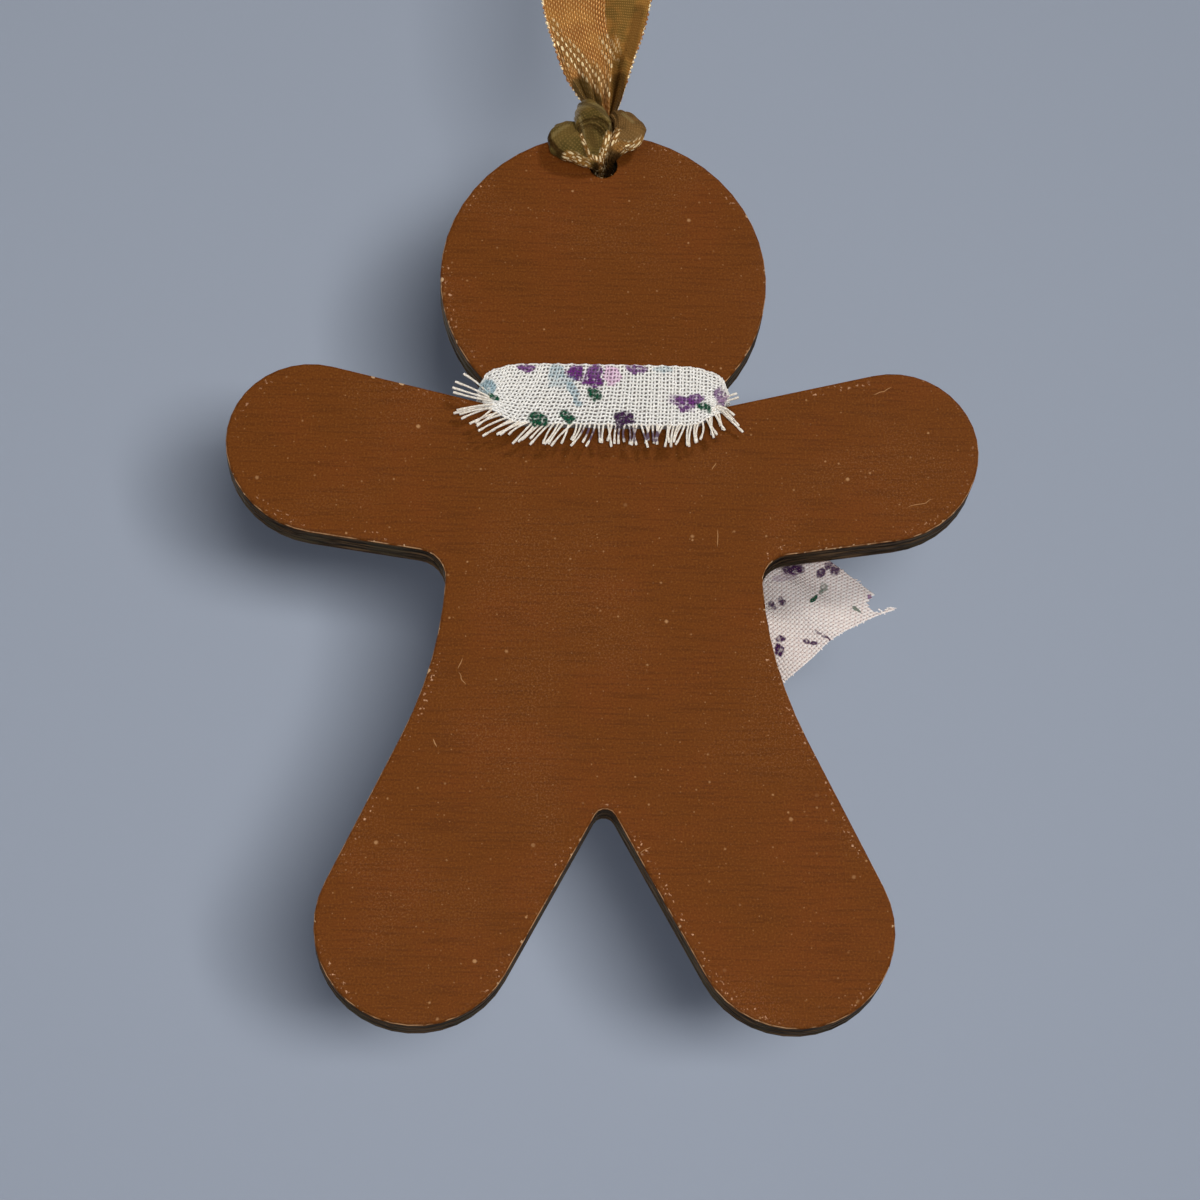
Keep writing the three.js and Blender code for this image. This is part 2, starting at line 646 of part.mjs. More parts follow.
// A tail leaves the knot level, fans out to its full width, and its pleats fade towards the end.
// It is drawn hanging from its own start, down its angle.
function scarfTail(angle, length, width, pleats, rise) {
  const way = new THREE.Vector2(Math.cos(radians(angle)), Math.sin(radians(angle)));
  const pointAt = (across, along) => {
    const turn = radians(angle + 90) * THREE.MathUtils.smoothstep(along, 0, tailTurnShare);
    const aside = new THREE.Vector2(Math.cos(turn), Math.sin(turn));
    const halfWidth = THREE.MathUtils.lerp(gatheredTailWidth, width, Math.max(along, 0) ** 0.9) / 2;
    const reach = (2 * across - 1) * halfWidth;
    const hollow = tailEndHollow * (1 - (2 * across - 1) ** 2);
    const advance = (length - hollow * along) * along;
    const wave = 0.5 - 0.5 * Math.cos(across * Math.PI * 2 * pleats + pleatStart);
    const fade = Math.sin(Math.min(along * 2.2, 1) * Math.PI / 2) ** 2 * (1 - 0.55 * along);
    return new THREE.Vector3(
      way.x * advance + aside.x * reach,
      tailPleatDepth * wave * fade + rise * along,
      way.y * advance + aside.y * reach,
    );
  };
  return sheet(pointAt, 18, 12, () => scarfThickness);
}

// Assembly

function named(name, geometry, material) {
  const mesh = new THREE.Mesh(geometry, material.clone());
  mesh.name = name;
  return mesh;
}

function placed(mesh, x, y, z) {
  mesh.position.set(x, y, z);
  return mesh;
}

const figure = new THREE.Group();
figure.add(
  named('back_veneer', veneer(-1), paint),
  named('core_veneer', boardSlice([[-glueLine, 0], [glueLine, 0]]), ply),
  named('front_veneer', veneer(1), paint),
  placed(named('left_eye', icingDrop(eyeRadius), icing), -eyeReach, 0, eyeRise),
  placed(named('right_eye', icingDrop(eyeRadius), icing), eyeReach, 0, eyeRise),
  named('smile', smileLine(), icing),
);
['upper_button', 'middle_button', 'lower_button'].forEach((name, place) => {
  const button = named(name, icingDrop(buttonRadius), icing);
  figure.add(placed(button, 0, 0, -firstButtonDrop - place * buttonPitch));
});

const ribbon = new THREE.Group();
const halfTurn = turnGap / loopLength / 2;
const twistShare = 0.5; // where along the loop the ribbon twists
const knotShare = 1 - fabricGap / loopLength;
ribbon.add(
  named('ribbon_hitch', hitch(), satin),
  named('ribbon_lower_front', strand(-1, 0, twistShare - halfTurn, 14), satin),
  named('ribbon_lower_rear', strand(1, 0, twistShare - halfTurn, 14), satin),
  named('ribbon_upper_front', strand(-1, twistShare + halfTurn, knotShare, 12), satin),
  named('ribbon_upper_rear', strand(1, twistShare + halfTurn, knotShare, 12), satin),
  placed(named('ribbon_top_knot', topKnot(), satin), 0, 0, hookZ + topKnotHeight / 2),
  placed(named('ribbon_end_left', ribbonEnd(-1), satin), 0, 0, hookZ + topKnotHeight + fabricGap),
  placed(named('ribbon_end_right', ribbonEnd(1), satin), 0, 0, hookZ + topKnotHeight + fabricGap),
);

const scarf = new THREE.Group();
const knotY = boardHalf + fabricGap + knotDepth / 2;
const tailY = boardHalf + icingHeight + fabricGap + scarfThickness / 2;
const tailZ = neck.y - knotHeight / 2 - 2 * fabricGap;
const longTail = scarfTail(longTailAngle, longTailLength, longTailWidth, longTailPleats, longTailRise);
const shortTail = scarfTail(shortTailAngle, shortTailLength, shortTailWidth, shortTailPleats, shortTailRise);
scarf.add(
  named('scarf_neck_band', neckBand(), cotton),
  placed(named('scarf_knot', scarfKnot(), cotton), 0, knotY, neck.y),
  placed(named('scarf_long_tail', longTail, cotton),
    gatheredTailWidth * 0.62, tailY, tailZ),
  placed(named('scarf_short_tail', shortTail, cotton),
    -gatheredTailWidth * 0.5, tailY, tailZ),
);

const ornament = new THREE.Group();
ornament.add(figure, ribbon, scarf);
ornament.position.z = -hookZ;

export default ornament;
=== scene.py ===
import bpy
import bmesh
import math
import random
from mathutils import Matrix, Vector, noise


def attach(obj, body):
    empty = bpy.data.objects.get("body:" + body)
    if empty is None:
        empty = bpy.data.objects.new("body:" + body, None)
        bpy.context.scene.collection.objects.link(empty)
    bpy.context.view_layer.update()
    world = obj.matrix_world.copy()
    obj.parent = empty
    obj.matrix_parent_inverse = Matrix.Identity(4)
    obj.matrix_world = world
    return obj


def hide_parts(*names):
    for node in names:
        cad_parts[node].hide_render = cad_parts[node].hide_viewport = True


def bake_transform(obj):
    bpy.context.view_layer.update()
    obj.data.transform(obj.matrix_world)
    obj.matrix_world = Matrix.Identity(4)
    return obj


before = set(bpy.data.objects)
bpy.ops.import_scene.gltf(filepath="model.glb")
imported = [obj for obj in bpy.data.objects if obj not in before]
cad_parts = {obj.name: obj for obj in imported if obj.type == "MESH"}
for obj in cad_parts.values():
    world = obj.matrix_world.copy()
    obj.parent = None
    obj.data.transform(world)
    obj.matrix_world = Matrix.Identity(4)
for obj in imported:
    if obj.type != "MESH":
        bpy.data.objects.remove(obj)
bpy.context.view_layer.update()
print("frame loaded with", len(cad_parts), "nodes")

mm = 0.001
headZ = -83.6  # middle of the head in mm, measured from the hook


# camera, placed by the outline of the figure in the photograph

photoCamera = {
    "lens": 102.18, "sensor": 36, "place": (-17.088, -342.113, -246.107),
    "forward": (0.04576, 0.93788, 0.34392), "up": (-0.014223, -0.343633, 0.938996),
}


def addObject(name, data):
    thing = bpy.data.objects.new(name, data)
    bpy.context.scene.collection.objects.link(thing)
    return thing


def makeCamera(values):
    lens = bpy.data.cameras.new("photoCamera")
    lens.lens, lens.sensor_width = values["lens"], values["sensor"]
    lens.clip_start, lens.clip_end = 0.01, 20
    forward = Vector(values["forward"]).normalized()
    right = forward.cross(Vector(values["up"])).normalized()
    turn = Matrix((right, right.cross(forward), -forward)).transposed()
    stand = addObject("photoCamera", lens)
    stand.matrix_world = Matrix.Translation(Vector(values["place"]) * mm) @ turn.to_4x4()
    bpy.context.scene.camera = stand


makeCamera(photoCamera)
print("camera placed")


# small helpers for shapes

def clamped(value):
    return min(max(value, 0), 1)


def between(stations, share):
    # a smooth value between stations, each written as (share, value)
    last = len(stations) - 1
    place = 0
    while place < last - 1 and share > stations[place + 1][0]:
        place += 1
    start, end = stations[place], stations[place + 1]
    before, after = stations[max(place - 1, 0)], stations[min(place + 2, last)]
    span = end[0] - start[0]
    part = clamped((share - start[0]) / span)
    startSlope = (end[1] - before[1]) / (end[0] - before[0]) * span
    endSlope = (after[1] - start[1]) / (after[0] - start[0]) * span
    square, cube = part ** 2, part ** 3
    return (start[1] * (2 * cube - 3 * square + 1) + startSlope * (cube - 2 * square + part)
            + end[1] * (3 * square - 2 * cube) + endSlope * (cube - square))


def eased(value, low, high):
    part = clamped((value - low) / (high - low))
    return part * part * (3 - 2 * part)


def meshPiece(name, mesh, materials, sharpOver=None):
    for material in materials:
        mesh.materials.append(material)
    mesh.polygons.foreach_set("use_smooth", [True] * len(mesh.polygons))
    if sharpOver:
        mesh.set_sharp_from_angle(angle=math.radians(sharpOver))
    return addObject(name, mesh)


def finishPiece(name, bm, materials, sharpOver=None):
    mesh = bpy.data.meshes.new(name)
    bm.to_mesh(mesh)
    bm.free()
    return meshPiece(name, mesh, materials, sharpOver)


def declare(pieces, body, node=None):
    # all the pieces ride on the body, and the node's own part is hidden when one is given
    for piece in pieces:
        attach(piece, body)
    if node:
        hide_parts(node)


def nearLines(spot, lines):
    # how near a point is to any of some lines, drawn as (start, end, reach, strength) in x and z from the head
    at, nearest = Vector((spot.x, spot.z - headZ)), 0
    for start, end, reach, strength in lines:
        start, end = Vector(start), Vector(end)
        share = clamped((at - start).dot(end - start) / (end - start).length_squared)
        away = (at - start.lerp(end, share)).length
        nearest = max(nearest, strength * (1 - eased(away, reach * 0.5, reach * 1.3)))
    return nearest


def inTear(x, z, tears, reach=1):
    # whether a point is in one of the ovals that are torn out, each (x, z, half width, half height)
    return any(math.hypot((x - middleX) / wide, (z - middleZ) / high) < reach for middleX, middleZ, wide, high in tears)


def clothPiece(name, columns, rows, size, placeAt, materials, thickness, tones=(), torn=(), threadStart=0):
    # a woven piece: a flat grid of its real size, laid where it hangs
    bm = bmesh.new()
    threads = bm.loops.layers.uv.new("threads")
    painted = [(bm.verts.layers.float.new(label), lines) for label, lines in tones]
    bmesh.ops.create_grid(bm, x_segments=columns, y_segments=rows, size=0.5)
    for face in bm.faces:
        for loop in face.loops:
            across, along = loop.vert.co.x + 0.5, loop.vert.co.y + 0.5
            loop[threads].uv = (across * size[0], threadStart + along * size[1])
    for vert in bm.verts:
        spot = placeAt(vert.co.x + 0.5, vert.co.y + 0.5)
        for layer, lines in painted:
            vert[layer] = nearLines(spot, lines)
        vert.co = spot * mm
    if torn:
        middles = [(face, face.calc_center_median()) for face in bm.faces]
        gone = [face for face, middle in middles if inTear(middle.x / mm, middle.z / mm, torn)]
        bmesh.ops.delete(bm, geom=gone, context="FACES")
    piece = finishPiece(name, bm, materials)
    body = piece.modifiers.new("clothThickness", "SOLIDIFY")
    body.thickness, body.offset = thickness * mm, 0
    if len(materials) > 1:
        body.material_offset = 1
    graph = bpy.context.evaluated_depsgraph_get()
    thick = bpy.data.meshes.new_from_object(piece.evaluated_get(graph), preserve_all_data_layers=True, depsgraph=graph)
    piece.modifiers.clear()
    piece.data = thick
    thick.name = name
    thick.set_sharp_from_angle(angle=math.radians(60))
    return piece


def threadPiece(name, lines, radius, material, sides=0):
    # yarns drawn as round curves, then made one mesh; each point is (place, share of the radius)
    curve = bpy.data.curves.new(name, "CURVE")
    curve.dimensions, curve.use_fill_caps = "3D", True
    curve.bevel_depth, curve.bevel_resolution = radius * mm, sides
    for line in lines:
        spline = curve.splines.new("POLY")
        spline.points.add(len(line) - 1)
        for point, (place, swell) in zip(spline.points, line):
            point.co = (*(place * mm), 1)
            point.radius = swell
    drawn = addObject(name + "Drawn", curve)
    bpy.context.view_layer.update()
    mesh = bpy.data.meshes.new_from_object(drawn.evaluated_get(bpy.context.evaluated_depsgraph_get()))
    bpy.data.objects.remove(drawn)
    mesh.name = name
    mesh.materials.clear()
    return meshPiece(name, mesh, [material])


# small helpers for materials

def colour(tones):
    # written as on a paint card, 0 to 255
    shares = [tone / 255 for tone in tones]
    return [share / 12.92 if share < 0.04 else ((share + 0.055) / 1.055) ** 2.4 for share in shares] + [1]


def join(value, socket):
    # links an output to the socket, or gives the socket a plain value
    if isinstance(value, bpy.types.NodeSocket):
        socket.id_data.links.new(value, socket)
    else:
        socket.default_value = value


def addNode(kind, inputs, tree=None, **settings):
    # a node in the given tree, or else in that of its first linked input
    tree = tree or next(value.id_data for value in inputs.values() if isinstance(value, bpy.types.NodeSocket))
    node = tree.nodes.new("ShaderNode" + kind)
    for name, value in settings.items():
        setattr(node, name, value)
    for name, value in inputs.items():
        join(value, node.inputs[name])
    return node


def reckon(operation, *values):
    return addNode("Math", dict(enumerate(values)), operation=operation).outputs[0]


def times(value, *others):
    for other in others:
        value = reckon("MULTIPLY", value, other)
    return value


def reckonPlace(operation, first, second):
    return addNode("VectorMath", {0: first, 1: second}, operation=operation).outputs[0]


def mixColour(share, first, second):
    return addNode("Mix", {0: share, 6: first, 7: second}, data_type="RGBA").outputs[2]


def layered(values, shade, layers):
    # colours laid over each other; a layer is its mask, how much of it shows unless it is all, and its colour's name
    shade = colour(values[shade]) if isinstance(shade, str) else shade
    for *masks, name in layers:
        shade = mixColour(times(*masks), shade, colour(values[name]))
    return shade


def ramp(value, low, high, start=0.0, end=1.0):
    inputs = {"Value": value, "From Min": low, "From Max": high, "To Min": start, "To Max": end}
    return addNode("MapRange", inputs, interpolation_type="SMOOTHSTEP").outputs[0]


def cloudy(coords, scale, detail=2):
    return addNode("TexNoise", {"Vector": coords, "Scale": scale, "Detail": detail}).outputs[0]


def warped(coords, scale, detail, reach, middle=None):
    # coordinates pushed about by noise, all one way unless its middle is taken off
    push = addNode("TexNoise", {"Vector": coords, "Scale": scale, "Detail": detail}).outputs["Color"]
    if middle:
        push = reckonPlace("SUBTRACT", push, middle)
    pull = addNode("VectorMath", {0: push, "Scale": reach}, operation="SCALE").outputs[0]
    return reckonPlace("ADD", coords, pull)


def stretched(coords, scale):
    return addNode("Mapping", {"Vector": coords, "Scale": scale}).outputs[0]


def placeInMm(tree):
    return stretched(addNode("TexCoord", {}, tree).outputs["Object"], (1000, 1000, 1000))


def threadsInMm(tree):
    return addNode("UVMap", {}, tree, uv_map="threads").outputs[0]


def paintedOn(tree, *labels):
    return [addNode("Attribute", {}, tree, attribute_name=label).outputs["Fac"] for label in labels]


def startGroup(name, inputs, outputs):
    tree = bpy.data.node_groups.new(name, "ShaderNodeTree")
    for label, value in {"Coordinates": (0, 0, 0), **inputs}.items():
        kind = "NodeSocketVector" if isinstance(value, tuple) else "NodeSocketFloat"
        socket = tree.interface.new_socket(name=label, in_out="INPUT", socket_type=kind)
        socket.default_value = value
    for label in outputs:
        kind = "NodeSocketColor" if label == "Ink" else "NodeSocketFloat"
        tree.interface.new_socket(name=label, in_out="OUTPUT", socket_type=kind)
    return tree, tree.nodes.new("NodeGroupInput").outputs, tree.nodes.new("NodeGroupOutput").inputs


def placeGroup(group, coords, inputs):
    return addNode("Group", {"Coordinates": coords, **inputs}, node_tree=group).outputs


def startMaterial(name, constants):
    material = bpy.data.materials.new(name)
    material.use_nodes = True
    shader = material.node_tree.nodes["Principled BSDF"]
    for label, value in constants.items():
        shader.inputs[label].default_value = value
    return material, material.node_tree, shader


def dress(shader, shade, height, depth, roughness=None):
    # gives a shader its colour, its relief and, where it changes over the surface, its roughness
    join(shade, shader.inputs["Base Color"])
    if roughness:
        join(roughness, shader.inputs["Roughness"])
    dent = addNode("Bump", {"Height": height, "Distance": depth * mm, "Strength": 1.0})
    join(dent.outputs[0], shader.inputs["Normal"])


# effects that several materials share

def makeFleckGroup():
    # one spot, dash or scratch at one place
    tree, given, wanted = startGroup("fleck", {"Place": (0, 0, 0), "Size": (1, 1, 1), "Turn": 0.0}, ["Mask"])
    offset = reckonPlace("SUBTRACT", given["Coordinates"], given["Place"])
    turned = addNode("VectorRotate", {"Vector": offset, "Angle": given["Turn"]}, rotation_type="Y_AXIS").outputs[0]
    shares = reckonPlace("DIVIDE", turned, given["Size"])
    reach = addNode("VectorMath", {0: shares}, operation="LENGTH").outputs["Value"]
    join(ramp(reach, 1.15, 0.8), wanted["Mask"])
    return tree


def makeWeaveGroup():
    # plain weave, over one and under one, with a hole between the threads
    inputs = {"Pitch": 0.38, "Wander": 0.1, "Hole": 0.4}
    tree, given, wanted = startGroup("plainWeave", inputs, ["Height", "Gap", "Rows", "Over"])
    bent = warped(given["Coordinates"], 0.9, 2, given["Wander"], (0.5, 0.5, 0.5))
    turns = reckon("DIVIDE", math.pi, given["Pitch"])
    scaled = addNode("VectorMath", {0: bent, "Scale": turns}, operation="SCALE").outputs[0]
    warp, weft = [reckon("SINE", part) for part in addNode("SeparateXYZ", {0: scaled}).outputs[:2]]
    crossing = times(warp, weft, 0.4)
    warpSize, weftSize = reckon("ABSOLUTE", warp), reckon("ABSOLUTE", weft)
    warpTop = reckon("ADD", times(warpSize, 0.6), crossing)
    weftTop = reckon("SUBTRACT", times(weftSize, 0.6), crossing)
    join(reckon("MAXIMUM", warpTop, weftTop), wanted["Height"])
    join(ramp(weftSize, 0.15, 0.75), wanted["Rows"])
    join(ramp(crossing, 0.12, -0.12), wanted["Over"])
    thickest = reckon("MAXIMUM", warpSize, weftSize)
    join(ramp(thickest, reckon("ADD", given["Hole"], 0.2), given["Hole"]), wanted["Gap"])
    return tree


def makeSatinGroup():
    # long floats that step sideways from thread to thread
    inputs = {"Pitch": 0.3, "Float": 0.8, "Step": 0.4, "Point": 1.0, "Cut": 0.5}
    tree, given, wanted = startGroup("satinWeave", inputs, ["Height", "Float"])
    parts = addNode("SeparateXYZ", {0: given["Coordinates"]}).outputs
    thread = reckon("DIVIDE", parts[0], given["Pitch"])
    shift = times(reckon("FLOOR", thread), given["Step"])
    run = reckon("ADD", reckon("DIVIDE", parts[1], given["Float"]), shift)
    roundness, swell = [reckon("SINE", times(reckon("FRACT", value), math.pi)) for value in (thread, run)]
    full = times(roundness, reckon("POWER", swell, given["Point"]))
    join(reckon("ADD", times(roundness, 0.3), full), wanted["Height"])
    join(ramp(full, given["Cut"], reckon("ADD", given["Cut"], 0.3)), wanted["Float"])
    return tree


def makeGrainGroup():
    # the wood's level grain under the paint, and the paint's fine stipple
    tree, given, wanted = startGroup("paintedGrain", {}, ["Lines", "Stipple", "Patches"])
    coords = given["Coordinates"]
    long = cloudy(stretched(coords, (0.15, 1, 3.0)), 1.0, 4)
    fine = cloudy(stretched(coords, (0.4, 1, 9.0)), 1.0, 2)
    join(times(ramp(long, 0.46, 0.66), ramp(fine, 0.3, 0.6, 0.35, 1.0)), wanted["Lines"])
    join(cloudy(coords, 4.5, 3), wanted["Stipple"])
    join(ramp(cloudy(coords, 0.12, 3), 0.42, 0.72), wanted["Patches"])
    return tree


def makeScatterGroup():
    # small printed flecks of several inks, scattered over cloth
    tree, given, wanted = startGroup("scatteredPrint", {"Spread": 0.24}, ["Mask", "Ink"])
    bent = warped(given["Coordinates"], 0.9, 1, 1.6)
    cells = addNode("TexVoronoi", {"Vector": bent, "Scale": given["Spread"]}).outputs
    join(ramp(cells["Distance"], 0.34, 0.26), wanted["Mask"])
    inks = addNode("ValToRGB", {0: addNode("SeparateColor", {0: cells["Color"]}).outputs[0]})
    inks.color_ramp.interpolation = "CONSTANT"
    first, last = inks.color_ramp.elements
    first.color, last.color, last.position = colour((118, 62, 124)), colour((196, 140, 176)), 0.72
    for place, ink in ((0.3, (28, 84, 62)), (0.52, (126, 158, 166))):
        inks.color_ramp.elements.new(place).color = colour(ink)
    join(inks.outputs[0], wanted["Ink"])
    return tree


fleck, plainWeave, satinWeave = makeFleckGroup(), makeWeaveGroup(), makeSatinGroup()
paintedGrain, scatteredPrint = makeGrainGroup(), makeScatterGroup()


def fleckMask(bent, wander, place, size, turn):
    # one fleck on coordinates that noise has pushed, by half of wander on the whole
    inputs = {"Place": [part + wander / 2 for part in place], "Size": size, "Turn": math.radians(turn)}
    return placeGroup(fleck, bent, inputs)["Mask"]


# floor and backdrop in one sweep, and the lamps

studio = {
    "floorZ": -0.30, "wallY": 0.135, "front": -1.1, "top": 0.75, "halfWidth": 1.0, "bend": 0.12,
    "backdrop": (148, 154, 166), "paper": (155, 162, 174), "worldLight": 0.06,
    "lamps": [  # name, place, the point it aims at, width and height, power, colour, what it lights
        ("keyLamp", (0.55, -0.75, 0.55), (0, 0, -0.08), (0.2, 0.2), 6.0, (1.0, 0.97, 0.93), "ornament"),
        ("fillLamp", (-0.75, -0.7, 0.05), (0, 0, -0.08), (0.9, 0.9), 2.6, (0.96, 0.98, 1.0), "ornament"),
        ("lowLamp", (0.0167, -0.47, -0.273), (0, 0, -0.08), (0.067, 0.051), 0.98, (1.0, 1.0, 1.0), "ornament"),
        ("shadowLamp", (0.0167, -0.47, -0.273), (0.0167, 0, 0.66), (0.067, 0.051), 2.62, (1.0, 1.0, 1.0), "paper"),
        ("paperLamp", (0.0167, -0.47, -0.273), (0.0167, 0, 0.66), (0.067, 0.051), 1.84, (1.0, 1.0, 1.0), "paper"),
        ("floorLamp", (0, -0.47, -0.175), (0, -0.47, -0.3), (2.0, 1.2), 6.5, (1.0, 1.0, 1.0), "paper"),
        ("frontKeyLamp", (-0.5, 0.8, 0.5), (0, 0, -0.08), (0.5, 0.5), 7.5, (1.0, 0.98, 0.95), "ornament"),
        ("frontFillLamp", (0.7, 0.7, 0.0), (0, 0, -0.08), (0.9, 0.9), 4.2, (0.95, 0.97, 1.0), "ornament"),
    ],
}


def paperMaterial(values):
    # paper that is clear from behind, so that no view is shut out by it
    material, tree, shader = startMaterial("paperSweep", {"Roughness": 0.9, "Specular IOR Level": 0.1})
    shade = cloudy(addNode("TexCoord", {}, tree).outputs["Object"], 3.0, 1)
    paler = [tone + 2 for tone in values["paper"]]
    join(mixColour(shade, colour(values["paper"]), colour(paler)), shader.inputs["Base Color"])
    behind = addNode("NewGeometry", {}, tree).outputs["Backfacing"]
    clear = addNode("BsdfTransparent", {}, tree).outputs[0]
    seen = addNode("MixShader", {0: behind, 1: shader.outputs[0], 2: clear})
    join(seen.outputs[0], tree.nodes["Material Output"].inputs["Surface"])
    return material


def makeSweep(values):
    bm = bmesh.new()
    side, foot, wall = values["halfWidth"], values["floorZ"], values["wallY"]
    edge = bm.edges.new([bm.verts.new((x, values["front"], foot)) for x in (side, -side)])
    for move in ((0, wall - values["front"], 0), (0, 0, values["top"] - foot)):
        pushed = bmesh.ops.extrude_edge_only(bm, edges=[edge])["geom"]
        edge = [item for item in pushed if isinstance(item, bmesh.types.BMEdge)][0]
        bmesh.ops.translate(bm, verts=edge.verts[:], vec=move)
    corner = [edge for edge in bm.edges if all(abs(v.co.y - wall) + abs(v.co.z - foot) < 1e-6 for v in edge.verts)]
    bmesh.ops.bevel(bm, geom=corner, offset=values["bend"], segments=18, profile=0.5, affect="EDGES", material=-1)
    bmesh.ops.recalc_face_normals(bm, faces=bm.faces)
    if sum(face.normal.z - face.normal.y for face in bm.faces) < 0:
        bmesh.ops.reverse_faces(bm, faces=bm.faces)
    sweep = finishPiece("paperSweep", bm, [paperMaterial(values)])
    sweep.visible_shadow = False
    return sweep


def makeLamps(values, sweep):
    lit = {label: bpy.data.collections.new(label + "Light") for label in ("paper", "ornament")}
    for collection in lit.values():
        collection.objects.link(sweep)
    lit["ornament"].collection_objects[0].light_linking.link_state = "EXCLUDE"
    for name, place, target, size, power, tint, lights in values["lamps"]:
        lamp = bpy.data.lights.new(name, "AREA")
        lamp.shape = "RECTANGLE"
        (lamp.size, lamp.size_y), lamp.energy, lamp.color = size, power, tint
        holder = addObject(name, lamp)
        holder.light_linking.receiver_collection = lit[lights]
        holder.visible_camera = False
        holder.location = place
        holder.rotation_euler = (Vector(target) - holder.location).to_track_quat("-Z", "Y").to_euler()


def makeWorld(values):
    world = bpy.data.worlds.new("studioAir")
    world.use_nodes = True
    tree = world.node_tree
    light = tree.nodes["Background"]
    join((1, 1, 1, 1), light.inputs["Color"])
    join(values["worldLight"], light.inputs["Strength"])
    shown = addNode("Background", {"Color": colour(values["backdrop"]), "Strength": 1.0}, tree)
    rays = addNode("LightPath", {}, tree).outputs
    lookedAt = reckon("MAXIMUM", rays["Is Camera Ray"], rays["Is Glossy Ray"])
    lookedAt = reckon("MAXIMUM", lookedAt, rays["Is Transmission Ray"])
    seen = addNode("MixShader", {0: lookedAt, 1: light.outputs[0], 2: shown.outputs[0]})
    join(seen.outputs[0], tree.nodes["World Output"].inputs["Surface"])
    bpy.context.scene.world = world
    bpy.context.scene.view_settings.view_transform = "Standard"


makeLamps(studio, makeSweep(studio))
makeWorld(studio)
print("studio made")


# the board: three plies of wood, painted brown on both faces, with a dark cut edge

board = {
    "half": 2.0, "glueLine": 0.7,
    "rimSteps": (0.15, 0.25, 0.5),  # loops drawn in from the edge, to tell the paint where the edge is
    "paint": (105, 55, 12), "patch": (116, 57, 17), "dust": (156, 106, 66), "flake": (214, 164, 124),
    "grainLine": (76, 36, 5), "dab": (126, 76, 26), "speck": (186, 138, 90), "chip": (204, 164, 122),
    "worn": (214, 166, 118), "edgeDark": (38, 29, 20), "edgeBrown": (94, 72, 50), "edgeOlive": (66, 58, 42),
    "spilt": (142, 88, 58),
    # spacing, reach, rareness, strength
    "specks": [(0.62, 0.11, 0.35, 0.7), (1.5, 0.17, 0.5, 0.5), (0.3, 0.09, 0.55, 0.8)],
    "scratches": [  # x, z, half length, half width, turn in degrees
        (34.1, -109.8, 1.5, 0.05, 20), (30.5, -96.6, 1.05, 0.05, 25), (12.1, -114.2, 1.0, 0.045, 88),
        (11.9, -105.8, 0.5, 0.05, 60), (-15.2, -128.7, 0.7, 0.045, 60), (-15.1, -130.4, 0.75, 0.045, -65),
        (-17.9, -137.6, 0.5, 0.05, -80), (4.2, -149.0, 0.6, 0.04, 30),
    ],
}


def paintedWood(values):
    material, tree, shader = startMaterial("brownPaint", {"Specular IOR Level": 0.08})
    coords = placeInMm(tree)
    grain = placeGroup(paintedGrain, coords, {})
    dusty = times(ramp(cloudy(coords, 0.07, 3), 0.48, 0.66), ramp(cloudy(coords, 5.0, 2), 0.52, 0.66))
    layers = [(grain["Patches"], 0.35, "patch"), (grain["Lines"], 0.42, "grainLine"),
              (ramp(grain["Stipple"], 0.5, 0.72, 0, 0.6), "dab"),
              (ramp(grain["Stipple"], 0.48, 0.28, 0, 0.5), "grainLine"), (dusty, 0.26, "dust")]
    ragged = warped(coords, 5.0, 1, 0.12)
    for spacing, reach, seldom, strength in values["specks"]:
        dots = addNode("TexVoronoi", {"Vector": ragged, "Scale": spacing}).outputs
        rare = ramp(addNode("SeparateColor", {0: dots["Color"]}).outputs[0], seldom, 1.0)
        layers.append((times(ramp(dots["Distance"], reach, reach * 0.3), rare), strength, "speck"))
    wander = 0.7
    bent = warped(coords, 0.8, 1, wander)
    for x, z, length, width, turn in values["scratches"]:
        layers.append((fleckMask(bent, wander, (x, -values["half"], z), (length, 1.5, width), turn), 0.7, "speck"))
    rim, = paintedOn(tree, "rim")
    fromRim = reckon("ABSOLUTE", reckon("ADD", rim, 0.18))
    chips = ramp(reckon("SUBTRACT", cloudy(coords, 1.1, 3), times(fromRim, 0.6)), 0.58, 0.63)
    line = times(ramp(fromRim, 0.1, 0.03), ramp(cloudy(coords, 0.6, 4), 0.4, 0.6))
    nearEdge = times(ramp(rim, 0.9, 0.72), ramp(rim, -0.05, 0.12))
    patches = times(nearEdge, ramp(cloudy(coords, 0.14, 3), 0.46, 0.62))
    flaked = times(ramp(cloudy(coords, 2.6, 3), 0.61, 0.69), patches)
    layers += [(line, 0.8, "worn"), (chips, "chip"), (flaked, 0.75, "flake")]
    rough = reckon("MAXIMUM", ramp(grain["Stipple"], 0.3, 0.7, 0.5, 0.62), ramp(rim, -0.1, -0.2))
    relief = reckon("SUBTRACT", grain["Stipple"], times(grain["Lines"], 0.5))
    relief = reckon("SUBTRACT", relief, times(chips, 0.8))
    dress(shader, layered(values, "paint", layers), relief, 0.035, rough)
    return material


